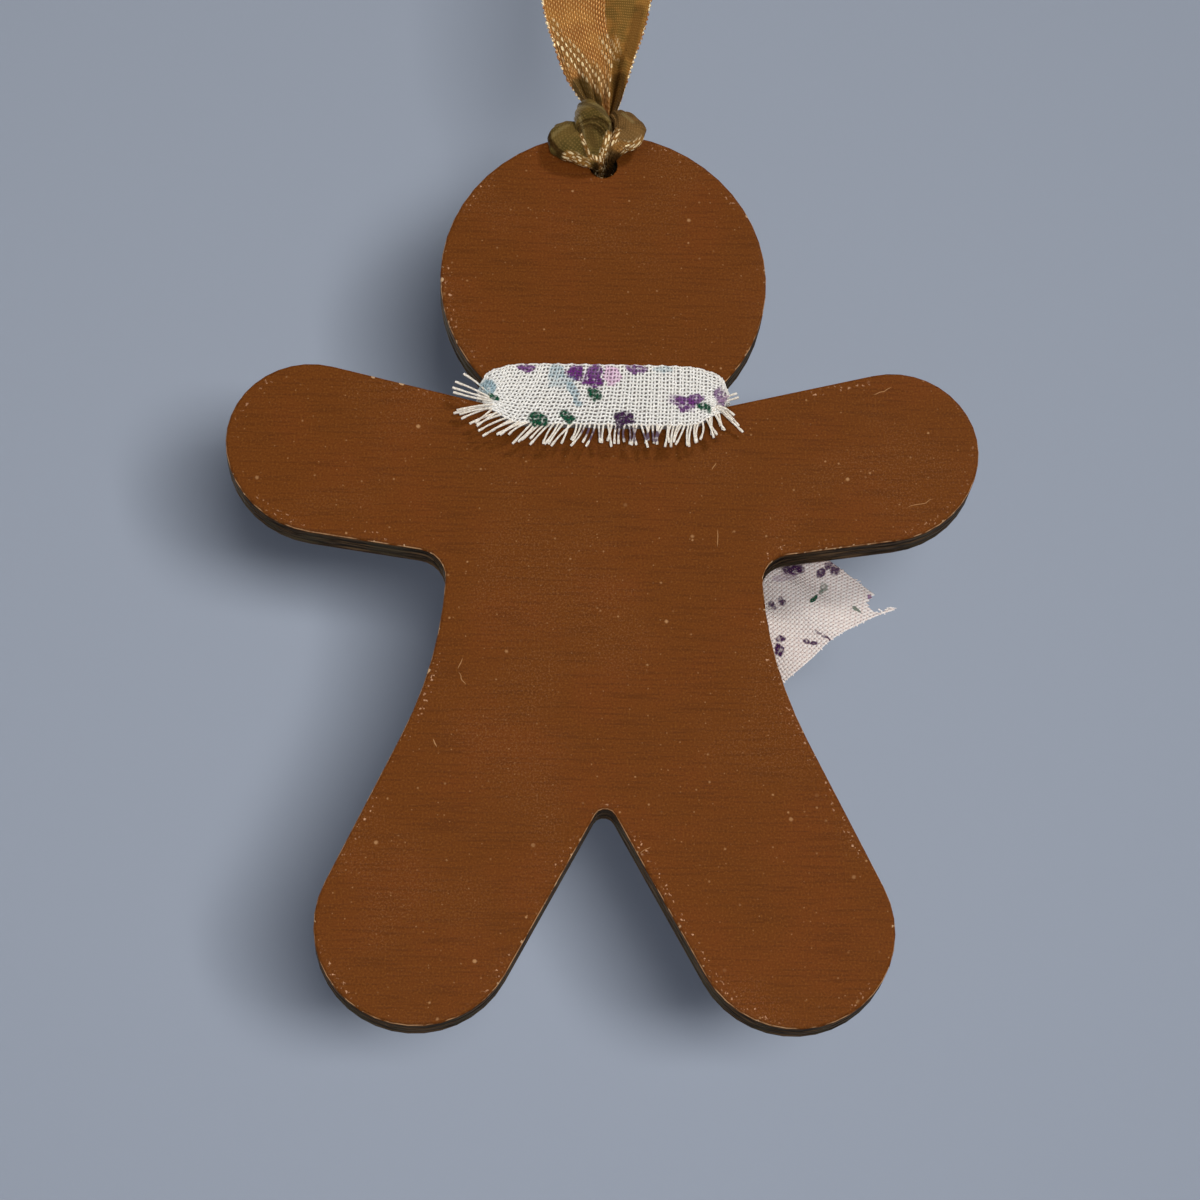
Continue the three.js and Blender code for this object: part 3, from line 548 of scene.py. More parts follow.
def cutEdge(values):
    material, tree, shader = startMaterial("burntEdge", {"Roughness": 0.92, "Specular IOR Level": 0.04})
    coords = placeInMm(tree)
    streaks = cloudy(stretched(coords, (0.35, 3.2, 0.35)), 1.0, 3)
    ridges = cloudy(stretched(coords, (4, 0.6, 4)), 1.0, 2)
    depth = addNode("SeparateXYZ", {0: coords}).outputs[1]
    fromGlue = reckon("ABSOLUTE", reckon("SUBTRACT", reckon("ABSOLUTE", depth), values["glueLine"]))
    spilt = times(ramp(depth, values["half"] - 0.45, values["half"] - 0.2), ramp(cloudy(coords, 0.7, 3), 0.4, 0.55))
    shade = layered(values, "edgeDark", [
        (ramp(streaks, 0.4, 0.68), "edgeBrown"), (ramp(cloudy(coords, 0.3, 2), 0.45, 0.65, 0, 0.7), "edgeOlive"),
        (ramp(fromGlue, 0.16, 0.04), 0.8, "edgeDark"), (spilt, 0.8, "spilt")])
    dress(shader, shade, reckon("ADD", streaks, ridges), 0.06)
    return material


def makePly(node, name, materials, values):
    # a smooth copy of one ply, with loops drawn in from its edge on the flat faces
    bm = bmesh.new()
    bm.from_mesh(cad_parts[node].data)
    bmesh.ops.remove_doubles(bm, verts=bm.verts, dist=1e-6)
    rim = bm.verts.layers.float.new("rim")
    for vert in bm.verts:
        vert[rim] = abs(vert.co.y) / mm - values["half"]  # below nought on the rounded edge and the sides
    shown = values["half"] * mm - 1e-5
    flat = [face for face in bm.faces if abs(face.calc_center_median().y) > shown]
    inwards = 0
    for step in values["rimSteps"] if flat else ():
        bmesh.ops.inset_region(bm, faces=flat, thickness=step * mm, use_even_offset=True, use_boundary=True)
        inwards += step
        for vert in {vert for face in flat for vert in face.verts}:
            vert[rim] = inwards
    if flat:
        bmesh.ops.delete(bm, geom=flat, context="FACES")
        bmesh.ops.triangle_fill(bm, use_beauty=True, edges=[edge for edge in bm.edges if edge.is_boundary])
        bmesh.ops.recalc_face_normals(bm, faces=bm.faces)
    for face in bm.faces:
        face.material_index = 1 if abs(face.normal.y) < 0.3 else 0
    declare([finishPiece(name, bm, materials, 40)], "figure", node)


woodMaterials = [paintedWood(board), cutEdge(board)]
makePly("back_veneer", "backPly", woodMaterials, board)
makePly("core_veneer", "corePly", woodMaterials, board)
makePly("front_veneer", "frontPly", woodMaterials, board)
print("board made")


# the icing on the front

icing = {
    "tint": (241, 236, 226), "shadowTint": (226, 216, 200), "height": 0.8,
    "profile": [(0, 1.0), (0.12, 0.99), (0.3, 0.96), (0.5, 0.9), (0.68, 0.8), (0.82, 0.66), (0.93, 0.46),
                (0.985, 0.22), (1, 0)],  # a drop from its top to its foot: shares of its radius and its height
    "drops": [  # node, name, x, z, radius
        ("left_eye", "leftEye", -5.4, -79.4, 1.6), ("right_eye", "rightEye", 5.4, -79.4, 1.6),
        ("upper_button", "upperButton", 0, -113.1, 2.0), ("middle_button", "middleButton", 0, -124.6, 2.0),
        ("lower_button", "lowerButton", 0, -136.1, 2.0),
    ],
    "smile": {"z": -82.2, "radius": 8.2, "spread": 52, "line": 0.65},
}


def icingPaint(values):
    material, tree, shader = startMaterial("icingPaint", {
        "Roughness": 0.38, "Specular IOR Level": 0.5, "Subsurface Weight": 0.1, "Subsurface Scale": 0.001})
    coords = placeInMm(tree)
    swirl = cloudy(coords, 1.4, 2)
    dress(shader, layered(values, "tint", [(swirl, "shadowTint")]), reckon("ADD", swirl, cloudy(coords, 9, 1)), 0.03)
    return material


def makeDrop(node, name, x, z, radius, values, material):
    bm = bmesh.new()
    foot = board["half"]
    verts = [bm.verts.new((x * mm + radius * out * mm, (foot + values["height"] * up) * mm, z * mm))
             for out, up in values["profile"]]
    verts.append(bm.verts.new((x * mm, foot * mm, z * mm)))
    edges = [bm.edges.new(pair) for pair in zip(verts, verts[1:])]
    bmesh.ops.spin(bm, geom=verts + edges, cent=(x * mm, 0, z * mm), axis=(0, 1, 0), angle=math.tau, steps=48,
                   use_merge=True)
    bmesh.ops.remove_doubles(bm, verts=bm.verts, dist=1e-6)
    bmesh.ops.recalc_face_normals(bm, faces=bm.faces)
    declare([finishPiece(name, bm, [material], 50)], "figure", node)


def makeSmile(values, height, material):
    # a round line along an arc, pressed to its height and cut off at the board
    line = []
    for step in range(41):
        share = step / 20 - 1
        angle = math.radians(share * values["spread"] - 90)
        x, z = values["radius"] * math.cos(angle), values["z"] + values["radius"] * math.sin(angle)
        tip = math.sqrt(max(0.02, 1 - max(0, (abs(share) - 0.95) / 0.05) ** 2))
        line.append((Vector((x, board["half"], z)), (1 - 0.35 * share ** 4) * tip))
    drawn = threadPiece("smileLine", [line], values["line"], material, 4)
    bm = bmesh.new()
    bm.from_mesh(drawn.data)
    bpy.data.objects.remove(drawn)
    foot = (0, board["half"] * mm, 0)
    base = Matrix.Translation(foot)
    pressed = base @ Matrix.Diagonal((1, height / values["line"], 1, 1)) @ base.inverted()
    bmesh.ops.transform(bm, verts=bm.verts, matrix=pressed)
    cut = bmesh.ops.bisect_plane(bm, geom=bm.verts[:] + bm.edges[:] + bm.faces[:], plane_co=foot,
                                 plane_no=(0, -1, 0), clear_outer=True)
    bmesh.ops.holes_fill(bm, edges=[item for item in cut["geom_cut"] if isinstance(item, bmesh.types.BMEdge)])
    declare([finishPiece("smileIcing", bm, [material], 50)], "figure", "smile")


icingMaterial = icingPaint(icing)
for drop in icing["drops"]:
    makeDrop(*drop, icing, icingMaterial)
makeSmile(icing["smile"], icing["height"], icingMaterial)
print("icing made")


# the ribbon: one strip of satin, 10 mm wide

def arcLines(arcs, middle, steps, reach, strength):
    # short lines along arcs, each (radius, from, to) in degrees
    lines = []
    for radius, turnFrom, turnTo in arcs:
        angles = [math.radians(turnFrom + (turnTo - turnFrom) * step / steps) for step in range(steps + 1)]
        bends = [(middle[0] + radius * math.cos(angle), middle[1] + radius * math.sin(angle)) for angle in angles]
        lines += [(start, end, reach, strength) for start, end in zip(bends, bends[1:])]
    return lines


# in the tones, each line is (start, end, reach, strength) in x and z from the middle of the head; glints and lights are
# painted highlights and shades is painted shade, laid into the satin's colour
ribbon = {
    "width": 10, "thickness": 0.14, "loop": 60, "parting": 3.2, "cup": 0.5,
    "seam": -39.0, "hitchFoot": -63.7, "knotFoot": -0.25, "threadsFrom": -70,
    "selvedges": (0.004, 0.996), "edgeStep": 0.16, "edgeLoop": 0.62, "edgeRadius": 0.14,
    "upperWidth": [(0.34, 0.9), (0.5, 1), (0.72, 1), (0.88, 0.9), (1, 0.42)],
    "partings": [(-0.062, 0.32), (0, 0.16), (0.08, 0.15), (0.2, 0.24), (0.35, 0.42), (0.5, 0.66), (0.7, 0.97),
                 (0.86, 0.92), (1, 0.14)],
    "crease": ((-4.9, -54.1), (1.1, -60.0)),  # a fold across the front strand, from its left edge to the hitch
    # glint and pale are colours of painted highlights, dark and corner of painted shade; the lighter colour of the
    # floats is their painted sheen
    "gold": (176, 119, 54), "floatSheen": (230, 176, 108), "glint": (255, 228, 176), "copper": (156, 98, 42),
    "pale": (150, 130, 84), "dark": (50, 30, 8), "corner": (88, 66, 24),
    # the dull side's colour in three copies, lighter or darker by the light each part gets: painted light and shade
    "dull": (106, 84, 42), "dullOlive": (86, 70, 32), "dullRib": (134, 106, 56),
    "warm": (152, 104, 46), "warmOlive": (116, 86, 38), "warmRib": (198, 148, 80),
    "brown": (120, 88, 48), "brownOlive": (100, 74, 40), "brownRib": (150, 114, 70),
    "front": {
        "width": [(-0.062, 0.1), (0, 0.36), (0.07, 0.6), (0.18, 0.7)],
        "shift": [(-0.062, 0.02), (0, -0.1), (0.07, -0.19), (0.18, -0.32), (0.32, -0.3), (0.5, -0.16),
                  (0.72, -0.04), (1, 0)],
        "tones": [
            # painted glints along the crease of the front strand, and painted shade in the corner below it that turns
            # away from the light
            ("glints", [((-4.6, 29.6), (1.05, 23.62), 1.15, 1.0), ((0.3, 30.4), (1.2, 26.5), 0.8, 0.7),
                        ((-5.6, 32.5), (-3.6, 27.2), 0.5, 0.7)]),
            ("shades", [((-2.6, 24.9), (-0.7, 22.5), 0.9, 1.0), ((-3.0, 24.4), (-0.5, 21.6), 0.7, 1.0)]),
        ],
    },
    "rear": {
        "width": [(-0.062, 0.1), (0, 0.33), (0.07, 0.5), (0.18, 0.7)],
        "shift": [(-0.062, 0.02), (0, 0.05), (0.07, 0.08), (0.18, 0.17), (0.32, 0.2), (0.5, 0.12),
                  (0.72, 0.04), (1, 0)],
        "tones": [
            # a few painted glints near the rear strand's top, and painted shadow where the front strand's edge lies
            # over it
            ("glints", [((1.4, 31.2), (1.5, 29.2), 0.7, 0.35)]),
            ("shades", [((1.9, 26.5), (1.7, 21.0), 0.9, 0.9), ((1.9, 29.0), (1.9, 26.0), 0.9, 0.5),
                        ((4.3, 35.5), (3.2, 29.5), 0.7, 0.5)]),
        ],
    },
    "foldTones": [
        # painted glints along the lower edges of the folds
        ("glints", [((-4.0, 14.1), (-2.0, 13.2), 0.6, 1.0), ((-2.6, 16.4), (-1.7, 14.2), 0.2, 0.8),
                    ((-1.5, 14.0), (-0.6, 13.85), 0.3, 1.0), ((0.55, 16.5), (-0.35, 13.8), 0.42, 1.0),
                    ((1.5, 17.3), (1.0, 15.8), 0.4, 0.9), ((1.3, 15.4), (2.9, 15.2), 0.55, 1.0),
                    ((2.9, 15.2), (4.3, 16.2), 0.35, 0.9)]),
        # painted shade: the line between the hood and the strands, the shadow under the left fold, the hole, the hood's
        # hollow and its dark wrinkles
        ("shades", [((-2.6, 21.4), (0.9, 18.4), 0.3, 0.6), ((0.9, 18.6), (0.8, 15.6), 0.2, 0.9),
                    ((-2.75, 17.6), (-2.0, 14.2), 0.3, 0.7), ((-0.9, 12.9), (1.7, 14.2), 0.8, 1.0),
                    ((-6.2, 17.0), (-6.05, 16.0), 0.3, 1.0), ((-6.05, 16.0), (-5.1, 14.7), 0.32, 1.0),
                    ((-5.1, 14.7), (-3.5, 13.6), 0.34, 1.0), ((-3.5, 13.6), (-1.9, 12.9), 0.3, 1.0),
                    ((-1.7, 16.9), (-1.2, 15.6), 0.6, 0.4)]
         + arcLines([(1.25, 150, 10), (1.55, 145, 0), (1.85, 140, -5), (2.15, 130, 0), (2.45, 120, 10)],
                    (-1.5, 16.2), 6, 0.1, 0.75)),
        # painted highlights on the top of the hood, along its rims and on the upper edges of the side folds
        ("lights", [((-2.7, 18.8), (-2.25, 15.9), 0.16, 0.9), ((0.72, 17.8), (0.25, 15.2), 0.2, 0.8),
                    ((-2.7, 20.8), (-0.9, 20.4), 0.5, 0.6), ((-0.9, 20.3), (0.5, 18.6), 0.4, 0.6),
                    ((-5.9, 16.4), (-4.0, 18.0), 0.25, 0.5), ((2.2, 20.2), (3.2, 18.5), 0.25, 0.6)]),
    ],
}


def satinFace(values):
    material, tree, shader = startMaterial("goldSatin", {"Metallic": 0.3, "Specular IOR Level": 0.15})
    coords = threadsInMm(tree)
    weave = placeGroup(satinWeave, coords, {"Pitch": 0.4, "Float": 0.65, "Step": 0.33})
    sparse = placeGroup(satinWeave, coords, {"Pitch": 0.48, "Float": 1.96, "Step": 0.333, "Point": 8.0, "Cut": 0.24})
    glints, shades = paintedOn(tree, "glints", "shades")
    # painted light and shade in the satin's colour: the floats' painted sheen, painted glints, the satin darkened
    # between them as painted shade, and the painted shade of the curled corner
    shade = layered(values, "gold", [
        (ramp(cloudy(placeInMm(tree), 0.35, 2), 0.35, 0.7), "copper"), (weave["Float"], 0.62, "floatSheen"),
        (glints, 0.4, "dull"), (shades, 0.9, "corner"), (glints, sparse["Float"], "glint")])
    dress(shader, shade, weave["Height"], 0.09, ramp(weave["Float"], 0, 1, 0.46, 0.32))
    return material


def satinBack(values, tint):
    # the dull side, in one of three copies tinted lighter or darker by the light each part of the ribbon gets: lit and
    # shaded copies of one satin, so painted light and shade
    material, tree, shader = startMaterial(tint + "Satin", {"Specular IOR Level": 0.03})
    coords, place = threadsInMm(tree), placeInMm(tree)
    glints, shades, lights = paintedOn(tree, "glints", "shades", "lights")
    sparse = placeGroup(satinWeave, coords, {"Pitch": 0.4, "Float": 1.1, "Step": 0.4, "Cut": 0.35})
    parts = addNode("SeparateXYZ", {0: coords}).outputs
    across = reckon("SINE", times(parts[1], math.tau / 0.34))
    dots = reckon("SINE", times(parts[0], math.tau / 0.3))
    ribs = reckon("ADD", times(across, 0.8), times(dots, 0.6))
    # painted highlights (pale, gold and glint dots) and painted shade (dark) laid into the colour along the drawn lines
    shade = layered(values, tint, [
        (ramp(cloudy(place, 0.5, 2), 0.4, 0.65), tint + "Olive"), (ramp(ribs, 0.1, 1.3, 0, 0.5), tint + "Rib"),
        (lights, 0.75, "pale"), (shades, 0.9, "dark"), (glints, 0.5, "gold"),
        (glints, sparse["Float"], ramp(cloudy(place, 1.1, 2), 0.38, 0.56), "glint")])
    dress(shader, shade, ribs, 0.03, ramp(ribs, -1, 1, 0.78, 0.62))
    return material


def selvedgeSatin(values):
    constants = {"Metallic": 0.4, "Roughness": 0.3, "Specular IOR Level": 0.6}
    material, tree, shader = startMaterial("ribbonSelvedge", constants)
    loops = cloudy(placeInMm(tree), 1.7, 2)
    # the bright loops are painted glints laid into the colour by noise
    dress(shader, layered(values, "copper", [(ramp(loops, 0.42, 0.58), "glint")]), loops, 0.05)
    return material


def strandPlace(side, look, values):
    # where a point of the loop's front (-1) or rear (1) strand hangs, by its share across and its height
    widths = look["width"] + values["upperWidth"]
    start, end = [Vector(corner) for corner in values["crease"]]
    run = (end - start).normalized()

    def placeAt(across, height):
        share = (height + values["loop"]) / values["loop"]
        width = between(widths, share)
        reach = (across - 0.5) * values["width"] * width
        fade = clamped(share / 0.2) * clamped((1 - share) / 0.1)
        y = values["parting"] * between(values["partings"], share)
        y += values["cup"] * fade * (4 * (across - 0.5) ** 2 - 0.4)
        gather = 0.62 * eased(0.8 - width, 0, 0.4) * eased(1 - share, 0, 0.05)
        y += gather * (0.5 - 0.5 * math.cos(across * math.tau * 3.5 + 0.4))
        x = values["width"] * between(look["shift"], share) + reach
        if side < 0:
            off = Vector((x, height)) - start
            away = run.x * off.y - run.y * off.x
            y += 0.55 * math.exp(-max(away, 0) / 1.5) * eased(-away, 2.6, -0.3) * eased(height, -46, -54)
            y -= 0.4 * eased(-away, 0.1, 2.5) * eased(height, -48, -56)
        if share > 0.97:
            y *= 1 - 0.5 * eased(share, 0.97, 1.0)
        return Vector((x, side * y, height))

    return placeAt


def makeStrand(name, side, look, low, high, rows, values, tones):
    placeAt = strandPlace(side, look, values)
    sheet = clothPiece(name, 60, rows, (values["width"], high - low),
                       lambda across, along: placeAt(across, low + (high - low) * along),
                       [goldSatin, warmSatin][::-side], values["thickness"], tones, (), low - values["threadsFrom"])
    edges, step = [], values["edgeStep"]
    for across in values["selvedges"]:
        line = []
        hidden = 0.1 if (across > 0.5) == (side < 0) else 1  # the edge behind the other strand is drawn tight
        for count in range(int((high - low) / step) + 1):
            height = min(low + count * step, high)
            loose = noise.noise(Vector((across * 9, side, height * 0.9)))
            shown = hidden * (eased(height, -59, -56.5) if side > 0 else 1)  # and where it goes into the hitch
            wave = shown * math.sin(count * step * math.tau / values["edgeLoop"] + 3 * loose)
            spot = placeAt(across, height) + Vector((0.08 * wave * (1 if across > 0.5 else -1), -0.04 * wave, 0))
            line.append((spot, (0.8 + 0.4 * wave + 0.5 * loose) * (0.3 + 0.7 * shown)))
        edges.append(line)
    return sheet, threadPiece(name + "Selvedge", edges, values["edgeRadius"], ribbonSelvedge, 1)


def makeStrands(side, label, values):
    name, look, width = label + "Strand", values[label], values["width"] * mm
    foot, seam, top = values["hitchFoot"], values["seam"], values["knotFoot"]
    lower = makeStrand(name + "Lower", side, look, foot, seam, 110, values, look["tones"])
    upper = makeStrand(name + "Upper", side, look, seam, top, 96, values, ())
    for piece in lower:
        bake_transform(piece)
    for piece in upper:
        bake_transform(piece)
    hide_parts("ribbon_lower_" + label)
    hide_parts("ribbon_upper_" + label)
    return lower + upper


goldSatin, ribbonSelvedge = satinFace(ribbon), selvedgeSatin(ribbon)
# lit and shaded copies of the satin's dull side: painted light and shade
dullSatin, warmSatin, brownSatin = [satinBack(ribbon, tint) for tint in ("dull", "warm", "brown")]
strands = bpy.data.collections.new("ribbonStrands")
for piece in makeStrands(-1, "front", ribbon) + makeStrands(1, "rear", ribbon):
    strands.objects.link(piece)
for entry in strands.collection_objects:
    entry.light_linking.link_state = "EXCLUDE"
# the ribbon's shadow on the paper stays faint
bpy.data.objects["shadowLamp"].light_linking.blocker_collection = strands
print("ribbon strands made")


# the hitch at the head: the ribbon's gathered folds through the hole and over the rim

hitch = {
    "holeZ": headZ + 13.9, "holeRadius": 1.6, "headRadius": 18, "gap": 0.12, "thickness": 0.12,
    # each fold: place from the middle of the head, half width, half thickness and the way its flat side faces
    "leftFold": [
        ((-0.3, 0.6, 14.5), 0.6, 0.55, (-1, 0, 0.2)), ((-0.9, -2.6, 14.0), 0.8, 0.55, (0, -1, -0.3)),
        ((-2.5, -3.3, 15.0), 1.62, 0.85, (0.1, -1, -0.25)), ((-4.0, -3.3, 16.3), 2.2, 0.95, (0, -1, -0.1)),
        ((-4.0, -2.7, 17.7), 1.65, 0.85, (0, -0.9, 0.5)), ((-3.0, -0.6, 19.1), 1.25, 0.75, (0, -0.2, 1)),
        ((-1.9, 2.3, 18.5), 1.1, 0.75, (0, 0.8, 1)), ((-1.3, 3.1, 16), 1.1, 0.85, (0, 1, 0)),
        ((-0.7, 2.7, 14.4), 0.9, 0.6, (0, 1, -0.3)), ((-0.3, 0.9, 14.3), 0.6, 0.55, (0, 1, 0)),
    ],
    "rightFold": [
        ((0.4, 0.6, 14.5), 0.6, 0.55, (1, 0, 0.2)), ((0.8, -2.5, 14.8), 0.65, 0.55, (0, -1, -0.3)),
        ((1.7, -3.3, 16.0), 1.25, 0.85, (-0.2, -1, -0.2)), ((2.8, -3.3, 17.1), 1.85, 0.9, (-0.3, -1, 0.0)),
        ((2.7, -2.4, 18.9), 1.55, 0.8, (0, -0.9, 0.6)), ((1.9, -0.9, 20.6), 1.1, 0.7, (0, -0.5, 1)),
        ((1.4, 0.9, 20.2), 1.0, 0.7, (0, 0.4, 1)), ((1.2, 2.5, 18.2), 1.1, 0.75, (0, 0.8, 1)),
        ((1.0, 3.1, 16), 1.1, 0.85, (0, 1, 0)), ((0.6, 2.7, 14.4), 0.9, 0.6, (0, 1, -0.3)),
        ((0.3, 0.9, 14.3), 0.6, 0.55, (0, 1, 0)),
    ],
    "bight": [
        ((-0.4, 1.6, 19.6), 1.0, 0.6, (-1, 0.4, 0.3)), ((-2.0, 0.6, 20.7), 1.1, 0.55, (-1, 0.2, 0.3)),
        ((-2.4, -1.4, 20.9), 1.3, 0.6, (-1, -0.7, 0.2)), ((-1.8, -3.1, 19.7), 1.7, 0.75, (-0.4, -1, 0.1)),
        ((-1.15, -3.9, 17.9), 1.95, 0.9, (-0.1, -1, 0)), ((-0.85, -3.95, 16.1), 1.65, 0.9, (0, -1, -0.15)),
        ((-0.7, -3.6, 14.6), 1.0, 0.75, (0, -1, -0.5)), ((-0.5, -2.7, 14.1), 0.75, 0.6, (0, -0.8, -1)),
        ((-0.2, -1.3, 14.5), 0.6, 0.55, (0, -0.2, -1)), ((0, 0.2, 14.6), 0.6, 0.55, (0, 0, -1)),
    ],
    "looks": {  # what differs from foldLook
        "leftFold": {"crease": 0.012, "creases": 22},
        "rightFold": {"twist": -2.0},
        "bight": {"seam": -85, "hollow": 1.1, "hollowFrom": (0.42, 0.52), "hollowTo": (0.76, 0.64),
                  "crinkles": [(-1.45, 16.3, 0.9, 2.6)], "columns": 110, "rows": 300},
    },
}
foldLook = {"seam": -75, "wrap": 0.97, "pleat": 0.015, "gather": 0.2, "spread": 2.7, "pleats": 9, "twist": 2.0,
            "crease": 0.0, "creases": 9, "crumple": 0.1, "hollow": 0, "hollowFrom": (0.3, 0.4), "hollowTo": (0.9, 0.8),
            "crinkles": (), "onBoard": True, "columns": 72, "rows": 110, "width": 10}
knotLook = {**foldLook, "onBoard": False}


def clearOfBoard(point):
    # moves a point of the ribbon out of the wood, the short way
    fromMiddle = Vector((point.x, point.z - headZ))
    fromHole = Vector((point.x, point.z - hitch["holeZ"]))
    inFace = board["half"] + hitch["gap"] - abs(point.y)
    inRim = hitch["headRadius"] + hitch["gap"] - fromMiddle.length
    inHole = fromHole.length - hitch["holeRadius"] + hitch["gap"]
    if min(inFace, inRim, inHole) <= 0:
        return point
    if inFace <= min(inRim, inHole):
        return Vector((point.x, point.y + math.copysign(inFace, point.y), point.z))
    if inRim < inHole:
        out = fromMiddle * (1 + inRim / fromMiddle.length)
        return Vector((out.x, point.y, headZ + out.y))
    out = fromHole * (1 - inHole / fromHole.length)
    return Vector((out.x, point.y, hitch["holeZ"] + out.y))


def rolledPiece(name, stations, look, materials, thickness, tones=()):
    # cloth rolled edge to edge along a path: pleated where it is squeezed, smooth where it spreads
    count = len(stations) - 1
    spots, widths, depths, faces = [], [], [], []
    for step, (spot, width, depth, face) in enumerate(stations):
        spots.append((step / count, Vector(spot)))
        widths.append((step / count, width))
        depths.append((step / count, depth))
        faces.append((step / count, Vector(face).normalized()))
    length = sum((end[1] - start[1]).length for start, end in zip(spots, spots[1:]))

    def placeAt(across, along):
        middle = between(spots, along)
        way = (between(spots, min(along + 0.01, 1)) - between(spots, max(along - 0.01, 0))).normalized()
        widthWay = way.cross(between(faces, along)).normalized()
        depthWay = widthWay.cross(way).normalized()
        angle = math.radians(look["seam"]) + math.tau * look["wrap"] * across
        width, depth = between(widths, along), between(depths, along)
        squeeze = eased(width + depth, look["spread"], 0.9)
        pleat = look["pleat"] + look["gather"] * squeeze
        swell = 1 + pleat * math.cos(look["pleats"] * angle + look["twist"] * along)
        swell += look["crease"] * math.sin(math.tau * look["creases"] * along + 2.2 * math.sin(angle))
        swell += look["crumple"] * noise.noise((middle + widthWay * math.cos(angle) * 2) * 0.9)
        spot = middle + widthWay * width * math.cos(angle) * swell
        facing = math.sin(angle)
        if facing > 0:
            hollow = look["hollow"] * math.exp(-(math.cos(angle) / 0.55) ** 2)
            facing *= 1 - hollow * eased(along, *look["hollowFrom"]) * eased(along, *look["hollowTo"])
            for x, z, inner, outer in look["crinkles"]:
                away = math.hypot(spot.x - x, spot.z - z)
                ring = eased(away, inner, inner + 0.3) * eased(away, outer, outer - 0.4) * eased(spot.z - z, -0.2, 0.8)
                facing += 0.16 * ring * math.sin(math.tau * away / 0.46)
        spot += depthWay * depth * facing * swell
        if not look["onBoard"]:
            return spot
        spot.z += headZ
        return clearOfBoard(spot)

    size = (look["width"], length)
    return clothPiece(name, look["columns"], look["rows"], size, placeAt, materials, thickness, tones), length


hitchFolds = []
for name, look in hitch["looks"].items():
    # the right fold takes the brown copy, tinted for the light it gets: painted light
    satin = brownSatin if name == "rightFold" else dullSatin
    piece, length = rolledPiece("hitch" + name[0].upper() + name[1:], hitch[name], {**foldLook, **look},
                                [satin, satin], hitch["thickness"], ribbon["foldTones"])
    hitchFolds.append(piece)
declare(hitchFolds, "figure", "ribbon_hitch")
print("hitch made")


# the knot at the top of the loop and the ribbon's two cut ends

topKnot = {
    "core": [((0, 0, -0.6), 2.1, 0.8, (0, -1, 0)), ((0, 0, 1.0), 2.9, 1.9, (0, -1, 0)),
             ((0, 0, 3.0), 3.0, 2.1, (0, -1, 0)), ((0, 0, 5.0), 2.8, 1.9, (0, -1, 0)),
             ((0, 0, 6.5), 2.0, 0.9, (0, -1, 0))],
    "turn": {"middleZ": 3.0, "reachX": 2.7, "reachY": 1.95, "aslant": 0.9, "halfWidth": 1.5, "halfDepth": 0.45},
    "end": {"length": 12, "slant": 3.2, "lean": 16, "footX": 0.7, "footY": 0.56, "footZ": 6.1, "edgeRadius": 0.12},
}


def makeTopKnot(values, materials):
    thickness, turn, stations = ribbon["thickness"], values["turn"], []
    core = rolledPiece("topKnotCore", values["core"], {**knotLook, "rows": 60, "pleat": 0.06}, materials, thickness)[0]
    for step in range(11):
        angle = math.tau * (step - 2) / 10
        out = Vector((math.cos(angle), math.sin(angle), 0))
        spot = (turn["reachX"] * out.x, turn["reachY"] * out.y, turn["middleZ"] + turn["aslant"] * out.x)
        stations.append((spot, turn["halfWidth"], turn["halfDepth"], out))
    wrap, length = rolledPiece("topKnotTurn", stations, {**knotLook, "pleat": 0.08, "seam": -90}, materials, thickness)
    declare([core, wrap], "ribbon_top", "ribbon_top_knot")


def makeRibbonEnd(name, side, node, values, materials):
    def placeAt(across, along):
        spread = 0.36 + 0.59 * math.sin(along * math.pi / 2)
        reach = (across - 0.5) * ribbon["width"] * spread
        length = values["length"] + values["slant"] * side * (across - 0.5)
        lean = math.radians(side * values["lean"] * along)
        ripple = 0.3 * math.cos(across * math.tau * 1.5) * (1 - along) + 0.25 * math.sin(along * 3.4 + across)
        x = side * values["footX"] + reach * math.cos(lean) + length * along * math.sin(lean)
        z = values["footZ"] + length * along * math.cos(lean) - reach * math.sin(lean)
        return Vector((x, side * (values["footY"] + 1.0 * along) + ripple * 0.6, z))

    end = clothPiece(name, 28, 40, (ribbon["width"], values["length"]), placeAt, materials[::side], ribbon["thickness"])
    edges = [[(placeAt(across, step / 60), 0.85 + 0.3 * math.sin(step * 1.9)) for step in range(61)]
             for across in ribbon["selvedges"]]
    selvedge = threadPiece(name + "Selvedge", edges, values["edgeRadius"], ribbonSelvedge, 1)
    declare([end, selvedge], "ribbon_top", node)


makeTopKnot(topKnot, [goldSatin, warmSatin])
makeRibbonEnd("leftRibbonEnd", -1, "ribbon_end_left", topKnot["end"], [goldSatin, warmSatin])
makeRibbonEnd("rightRibbonEnd", 1, "ribbon_end_right", topKnot["end"], [goldSatin, warmSatin])
print("top knot made")


# the scarf: a strip of loosely woven printed cotton with frayed edges

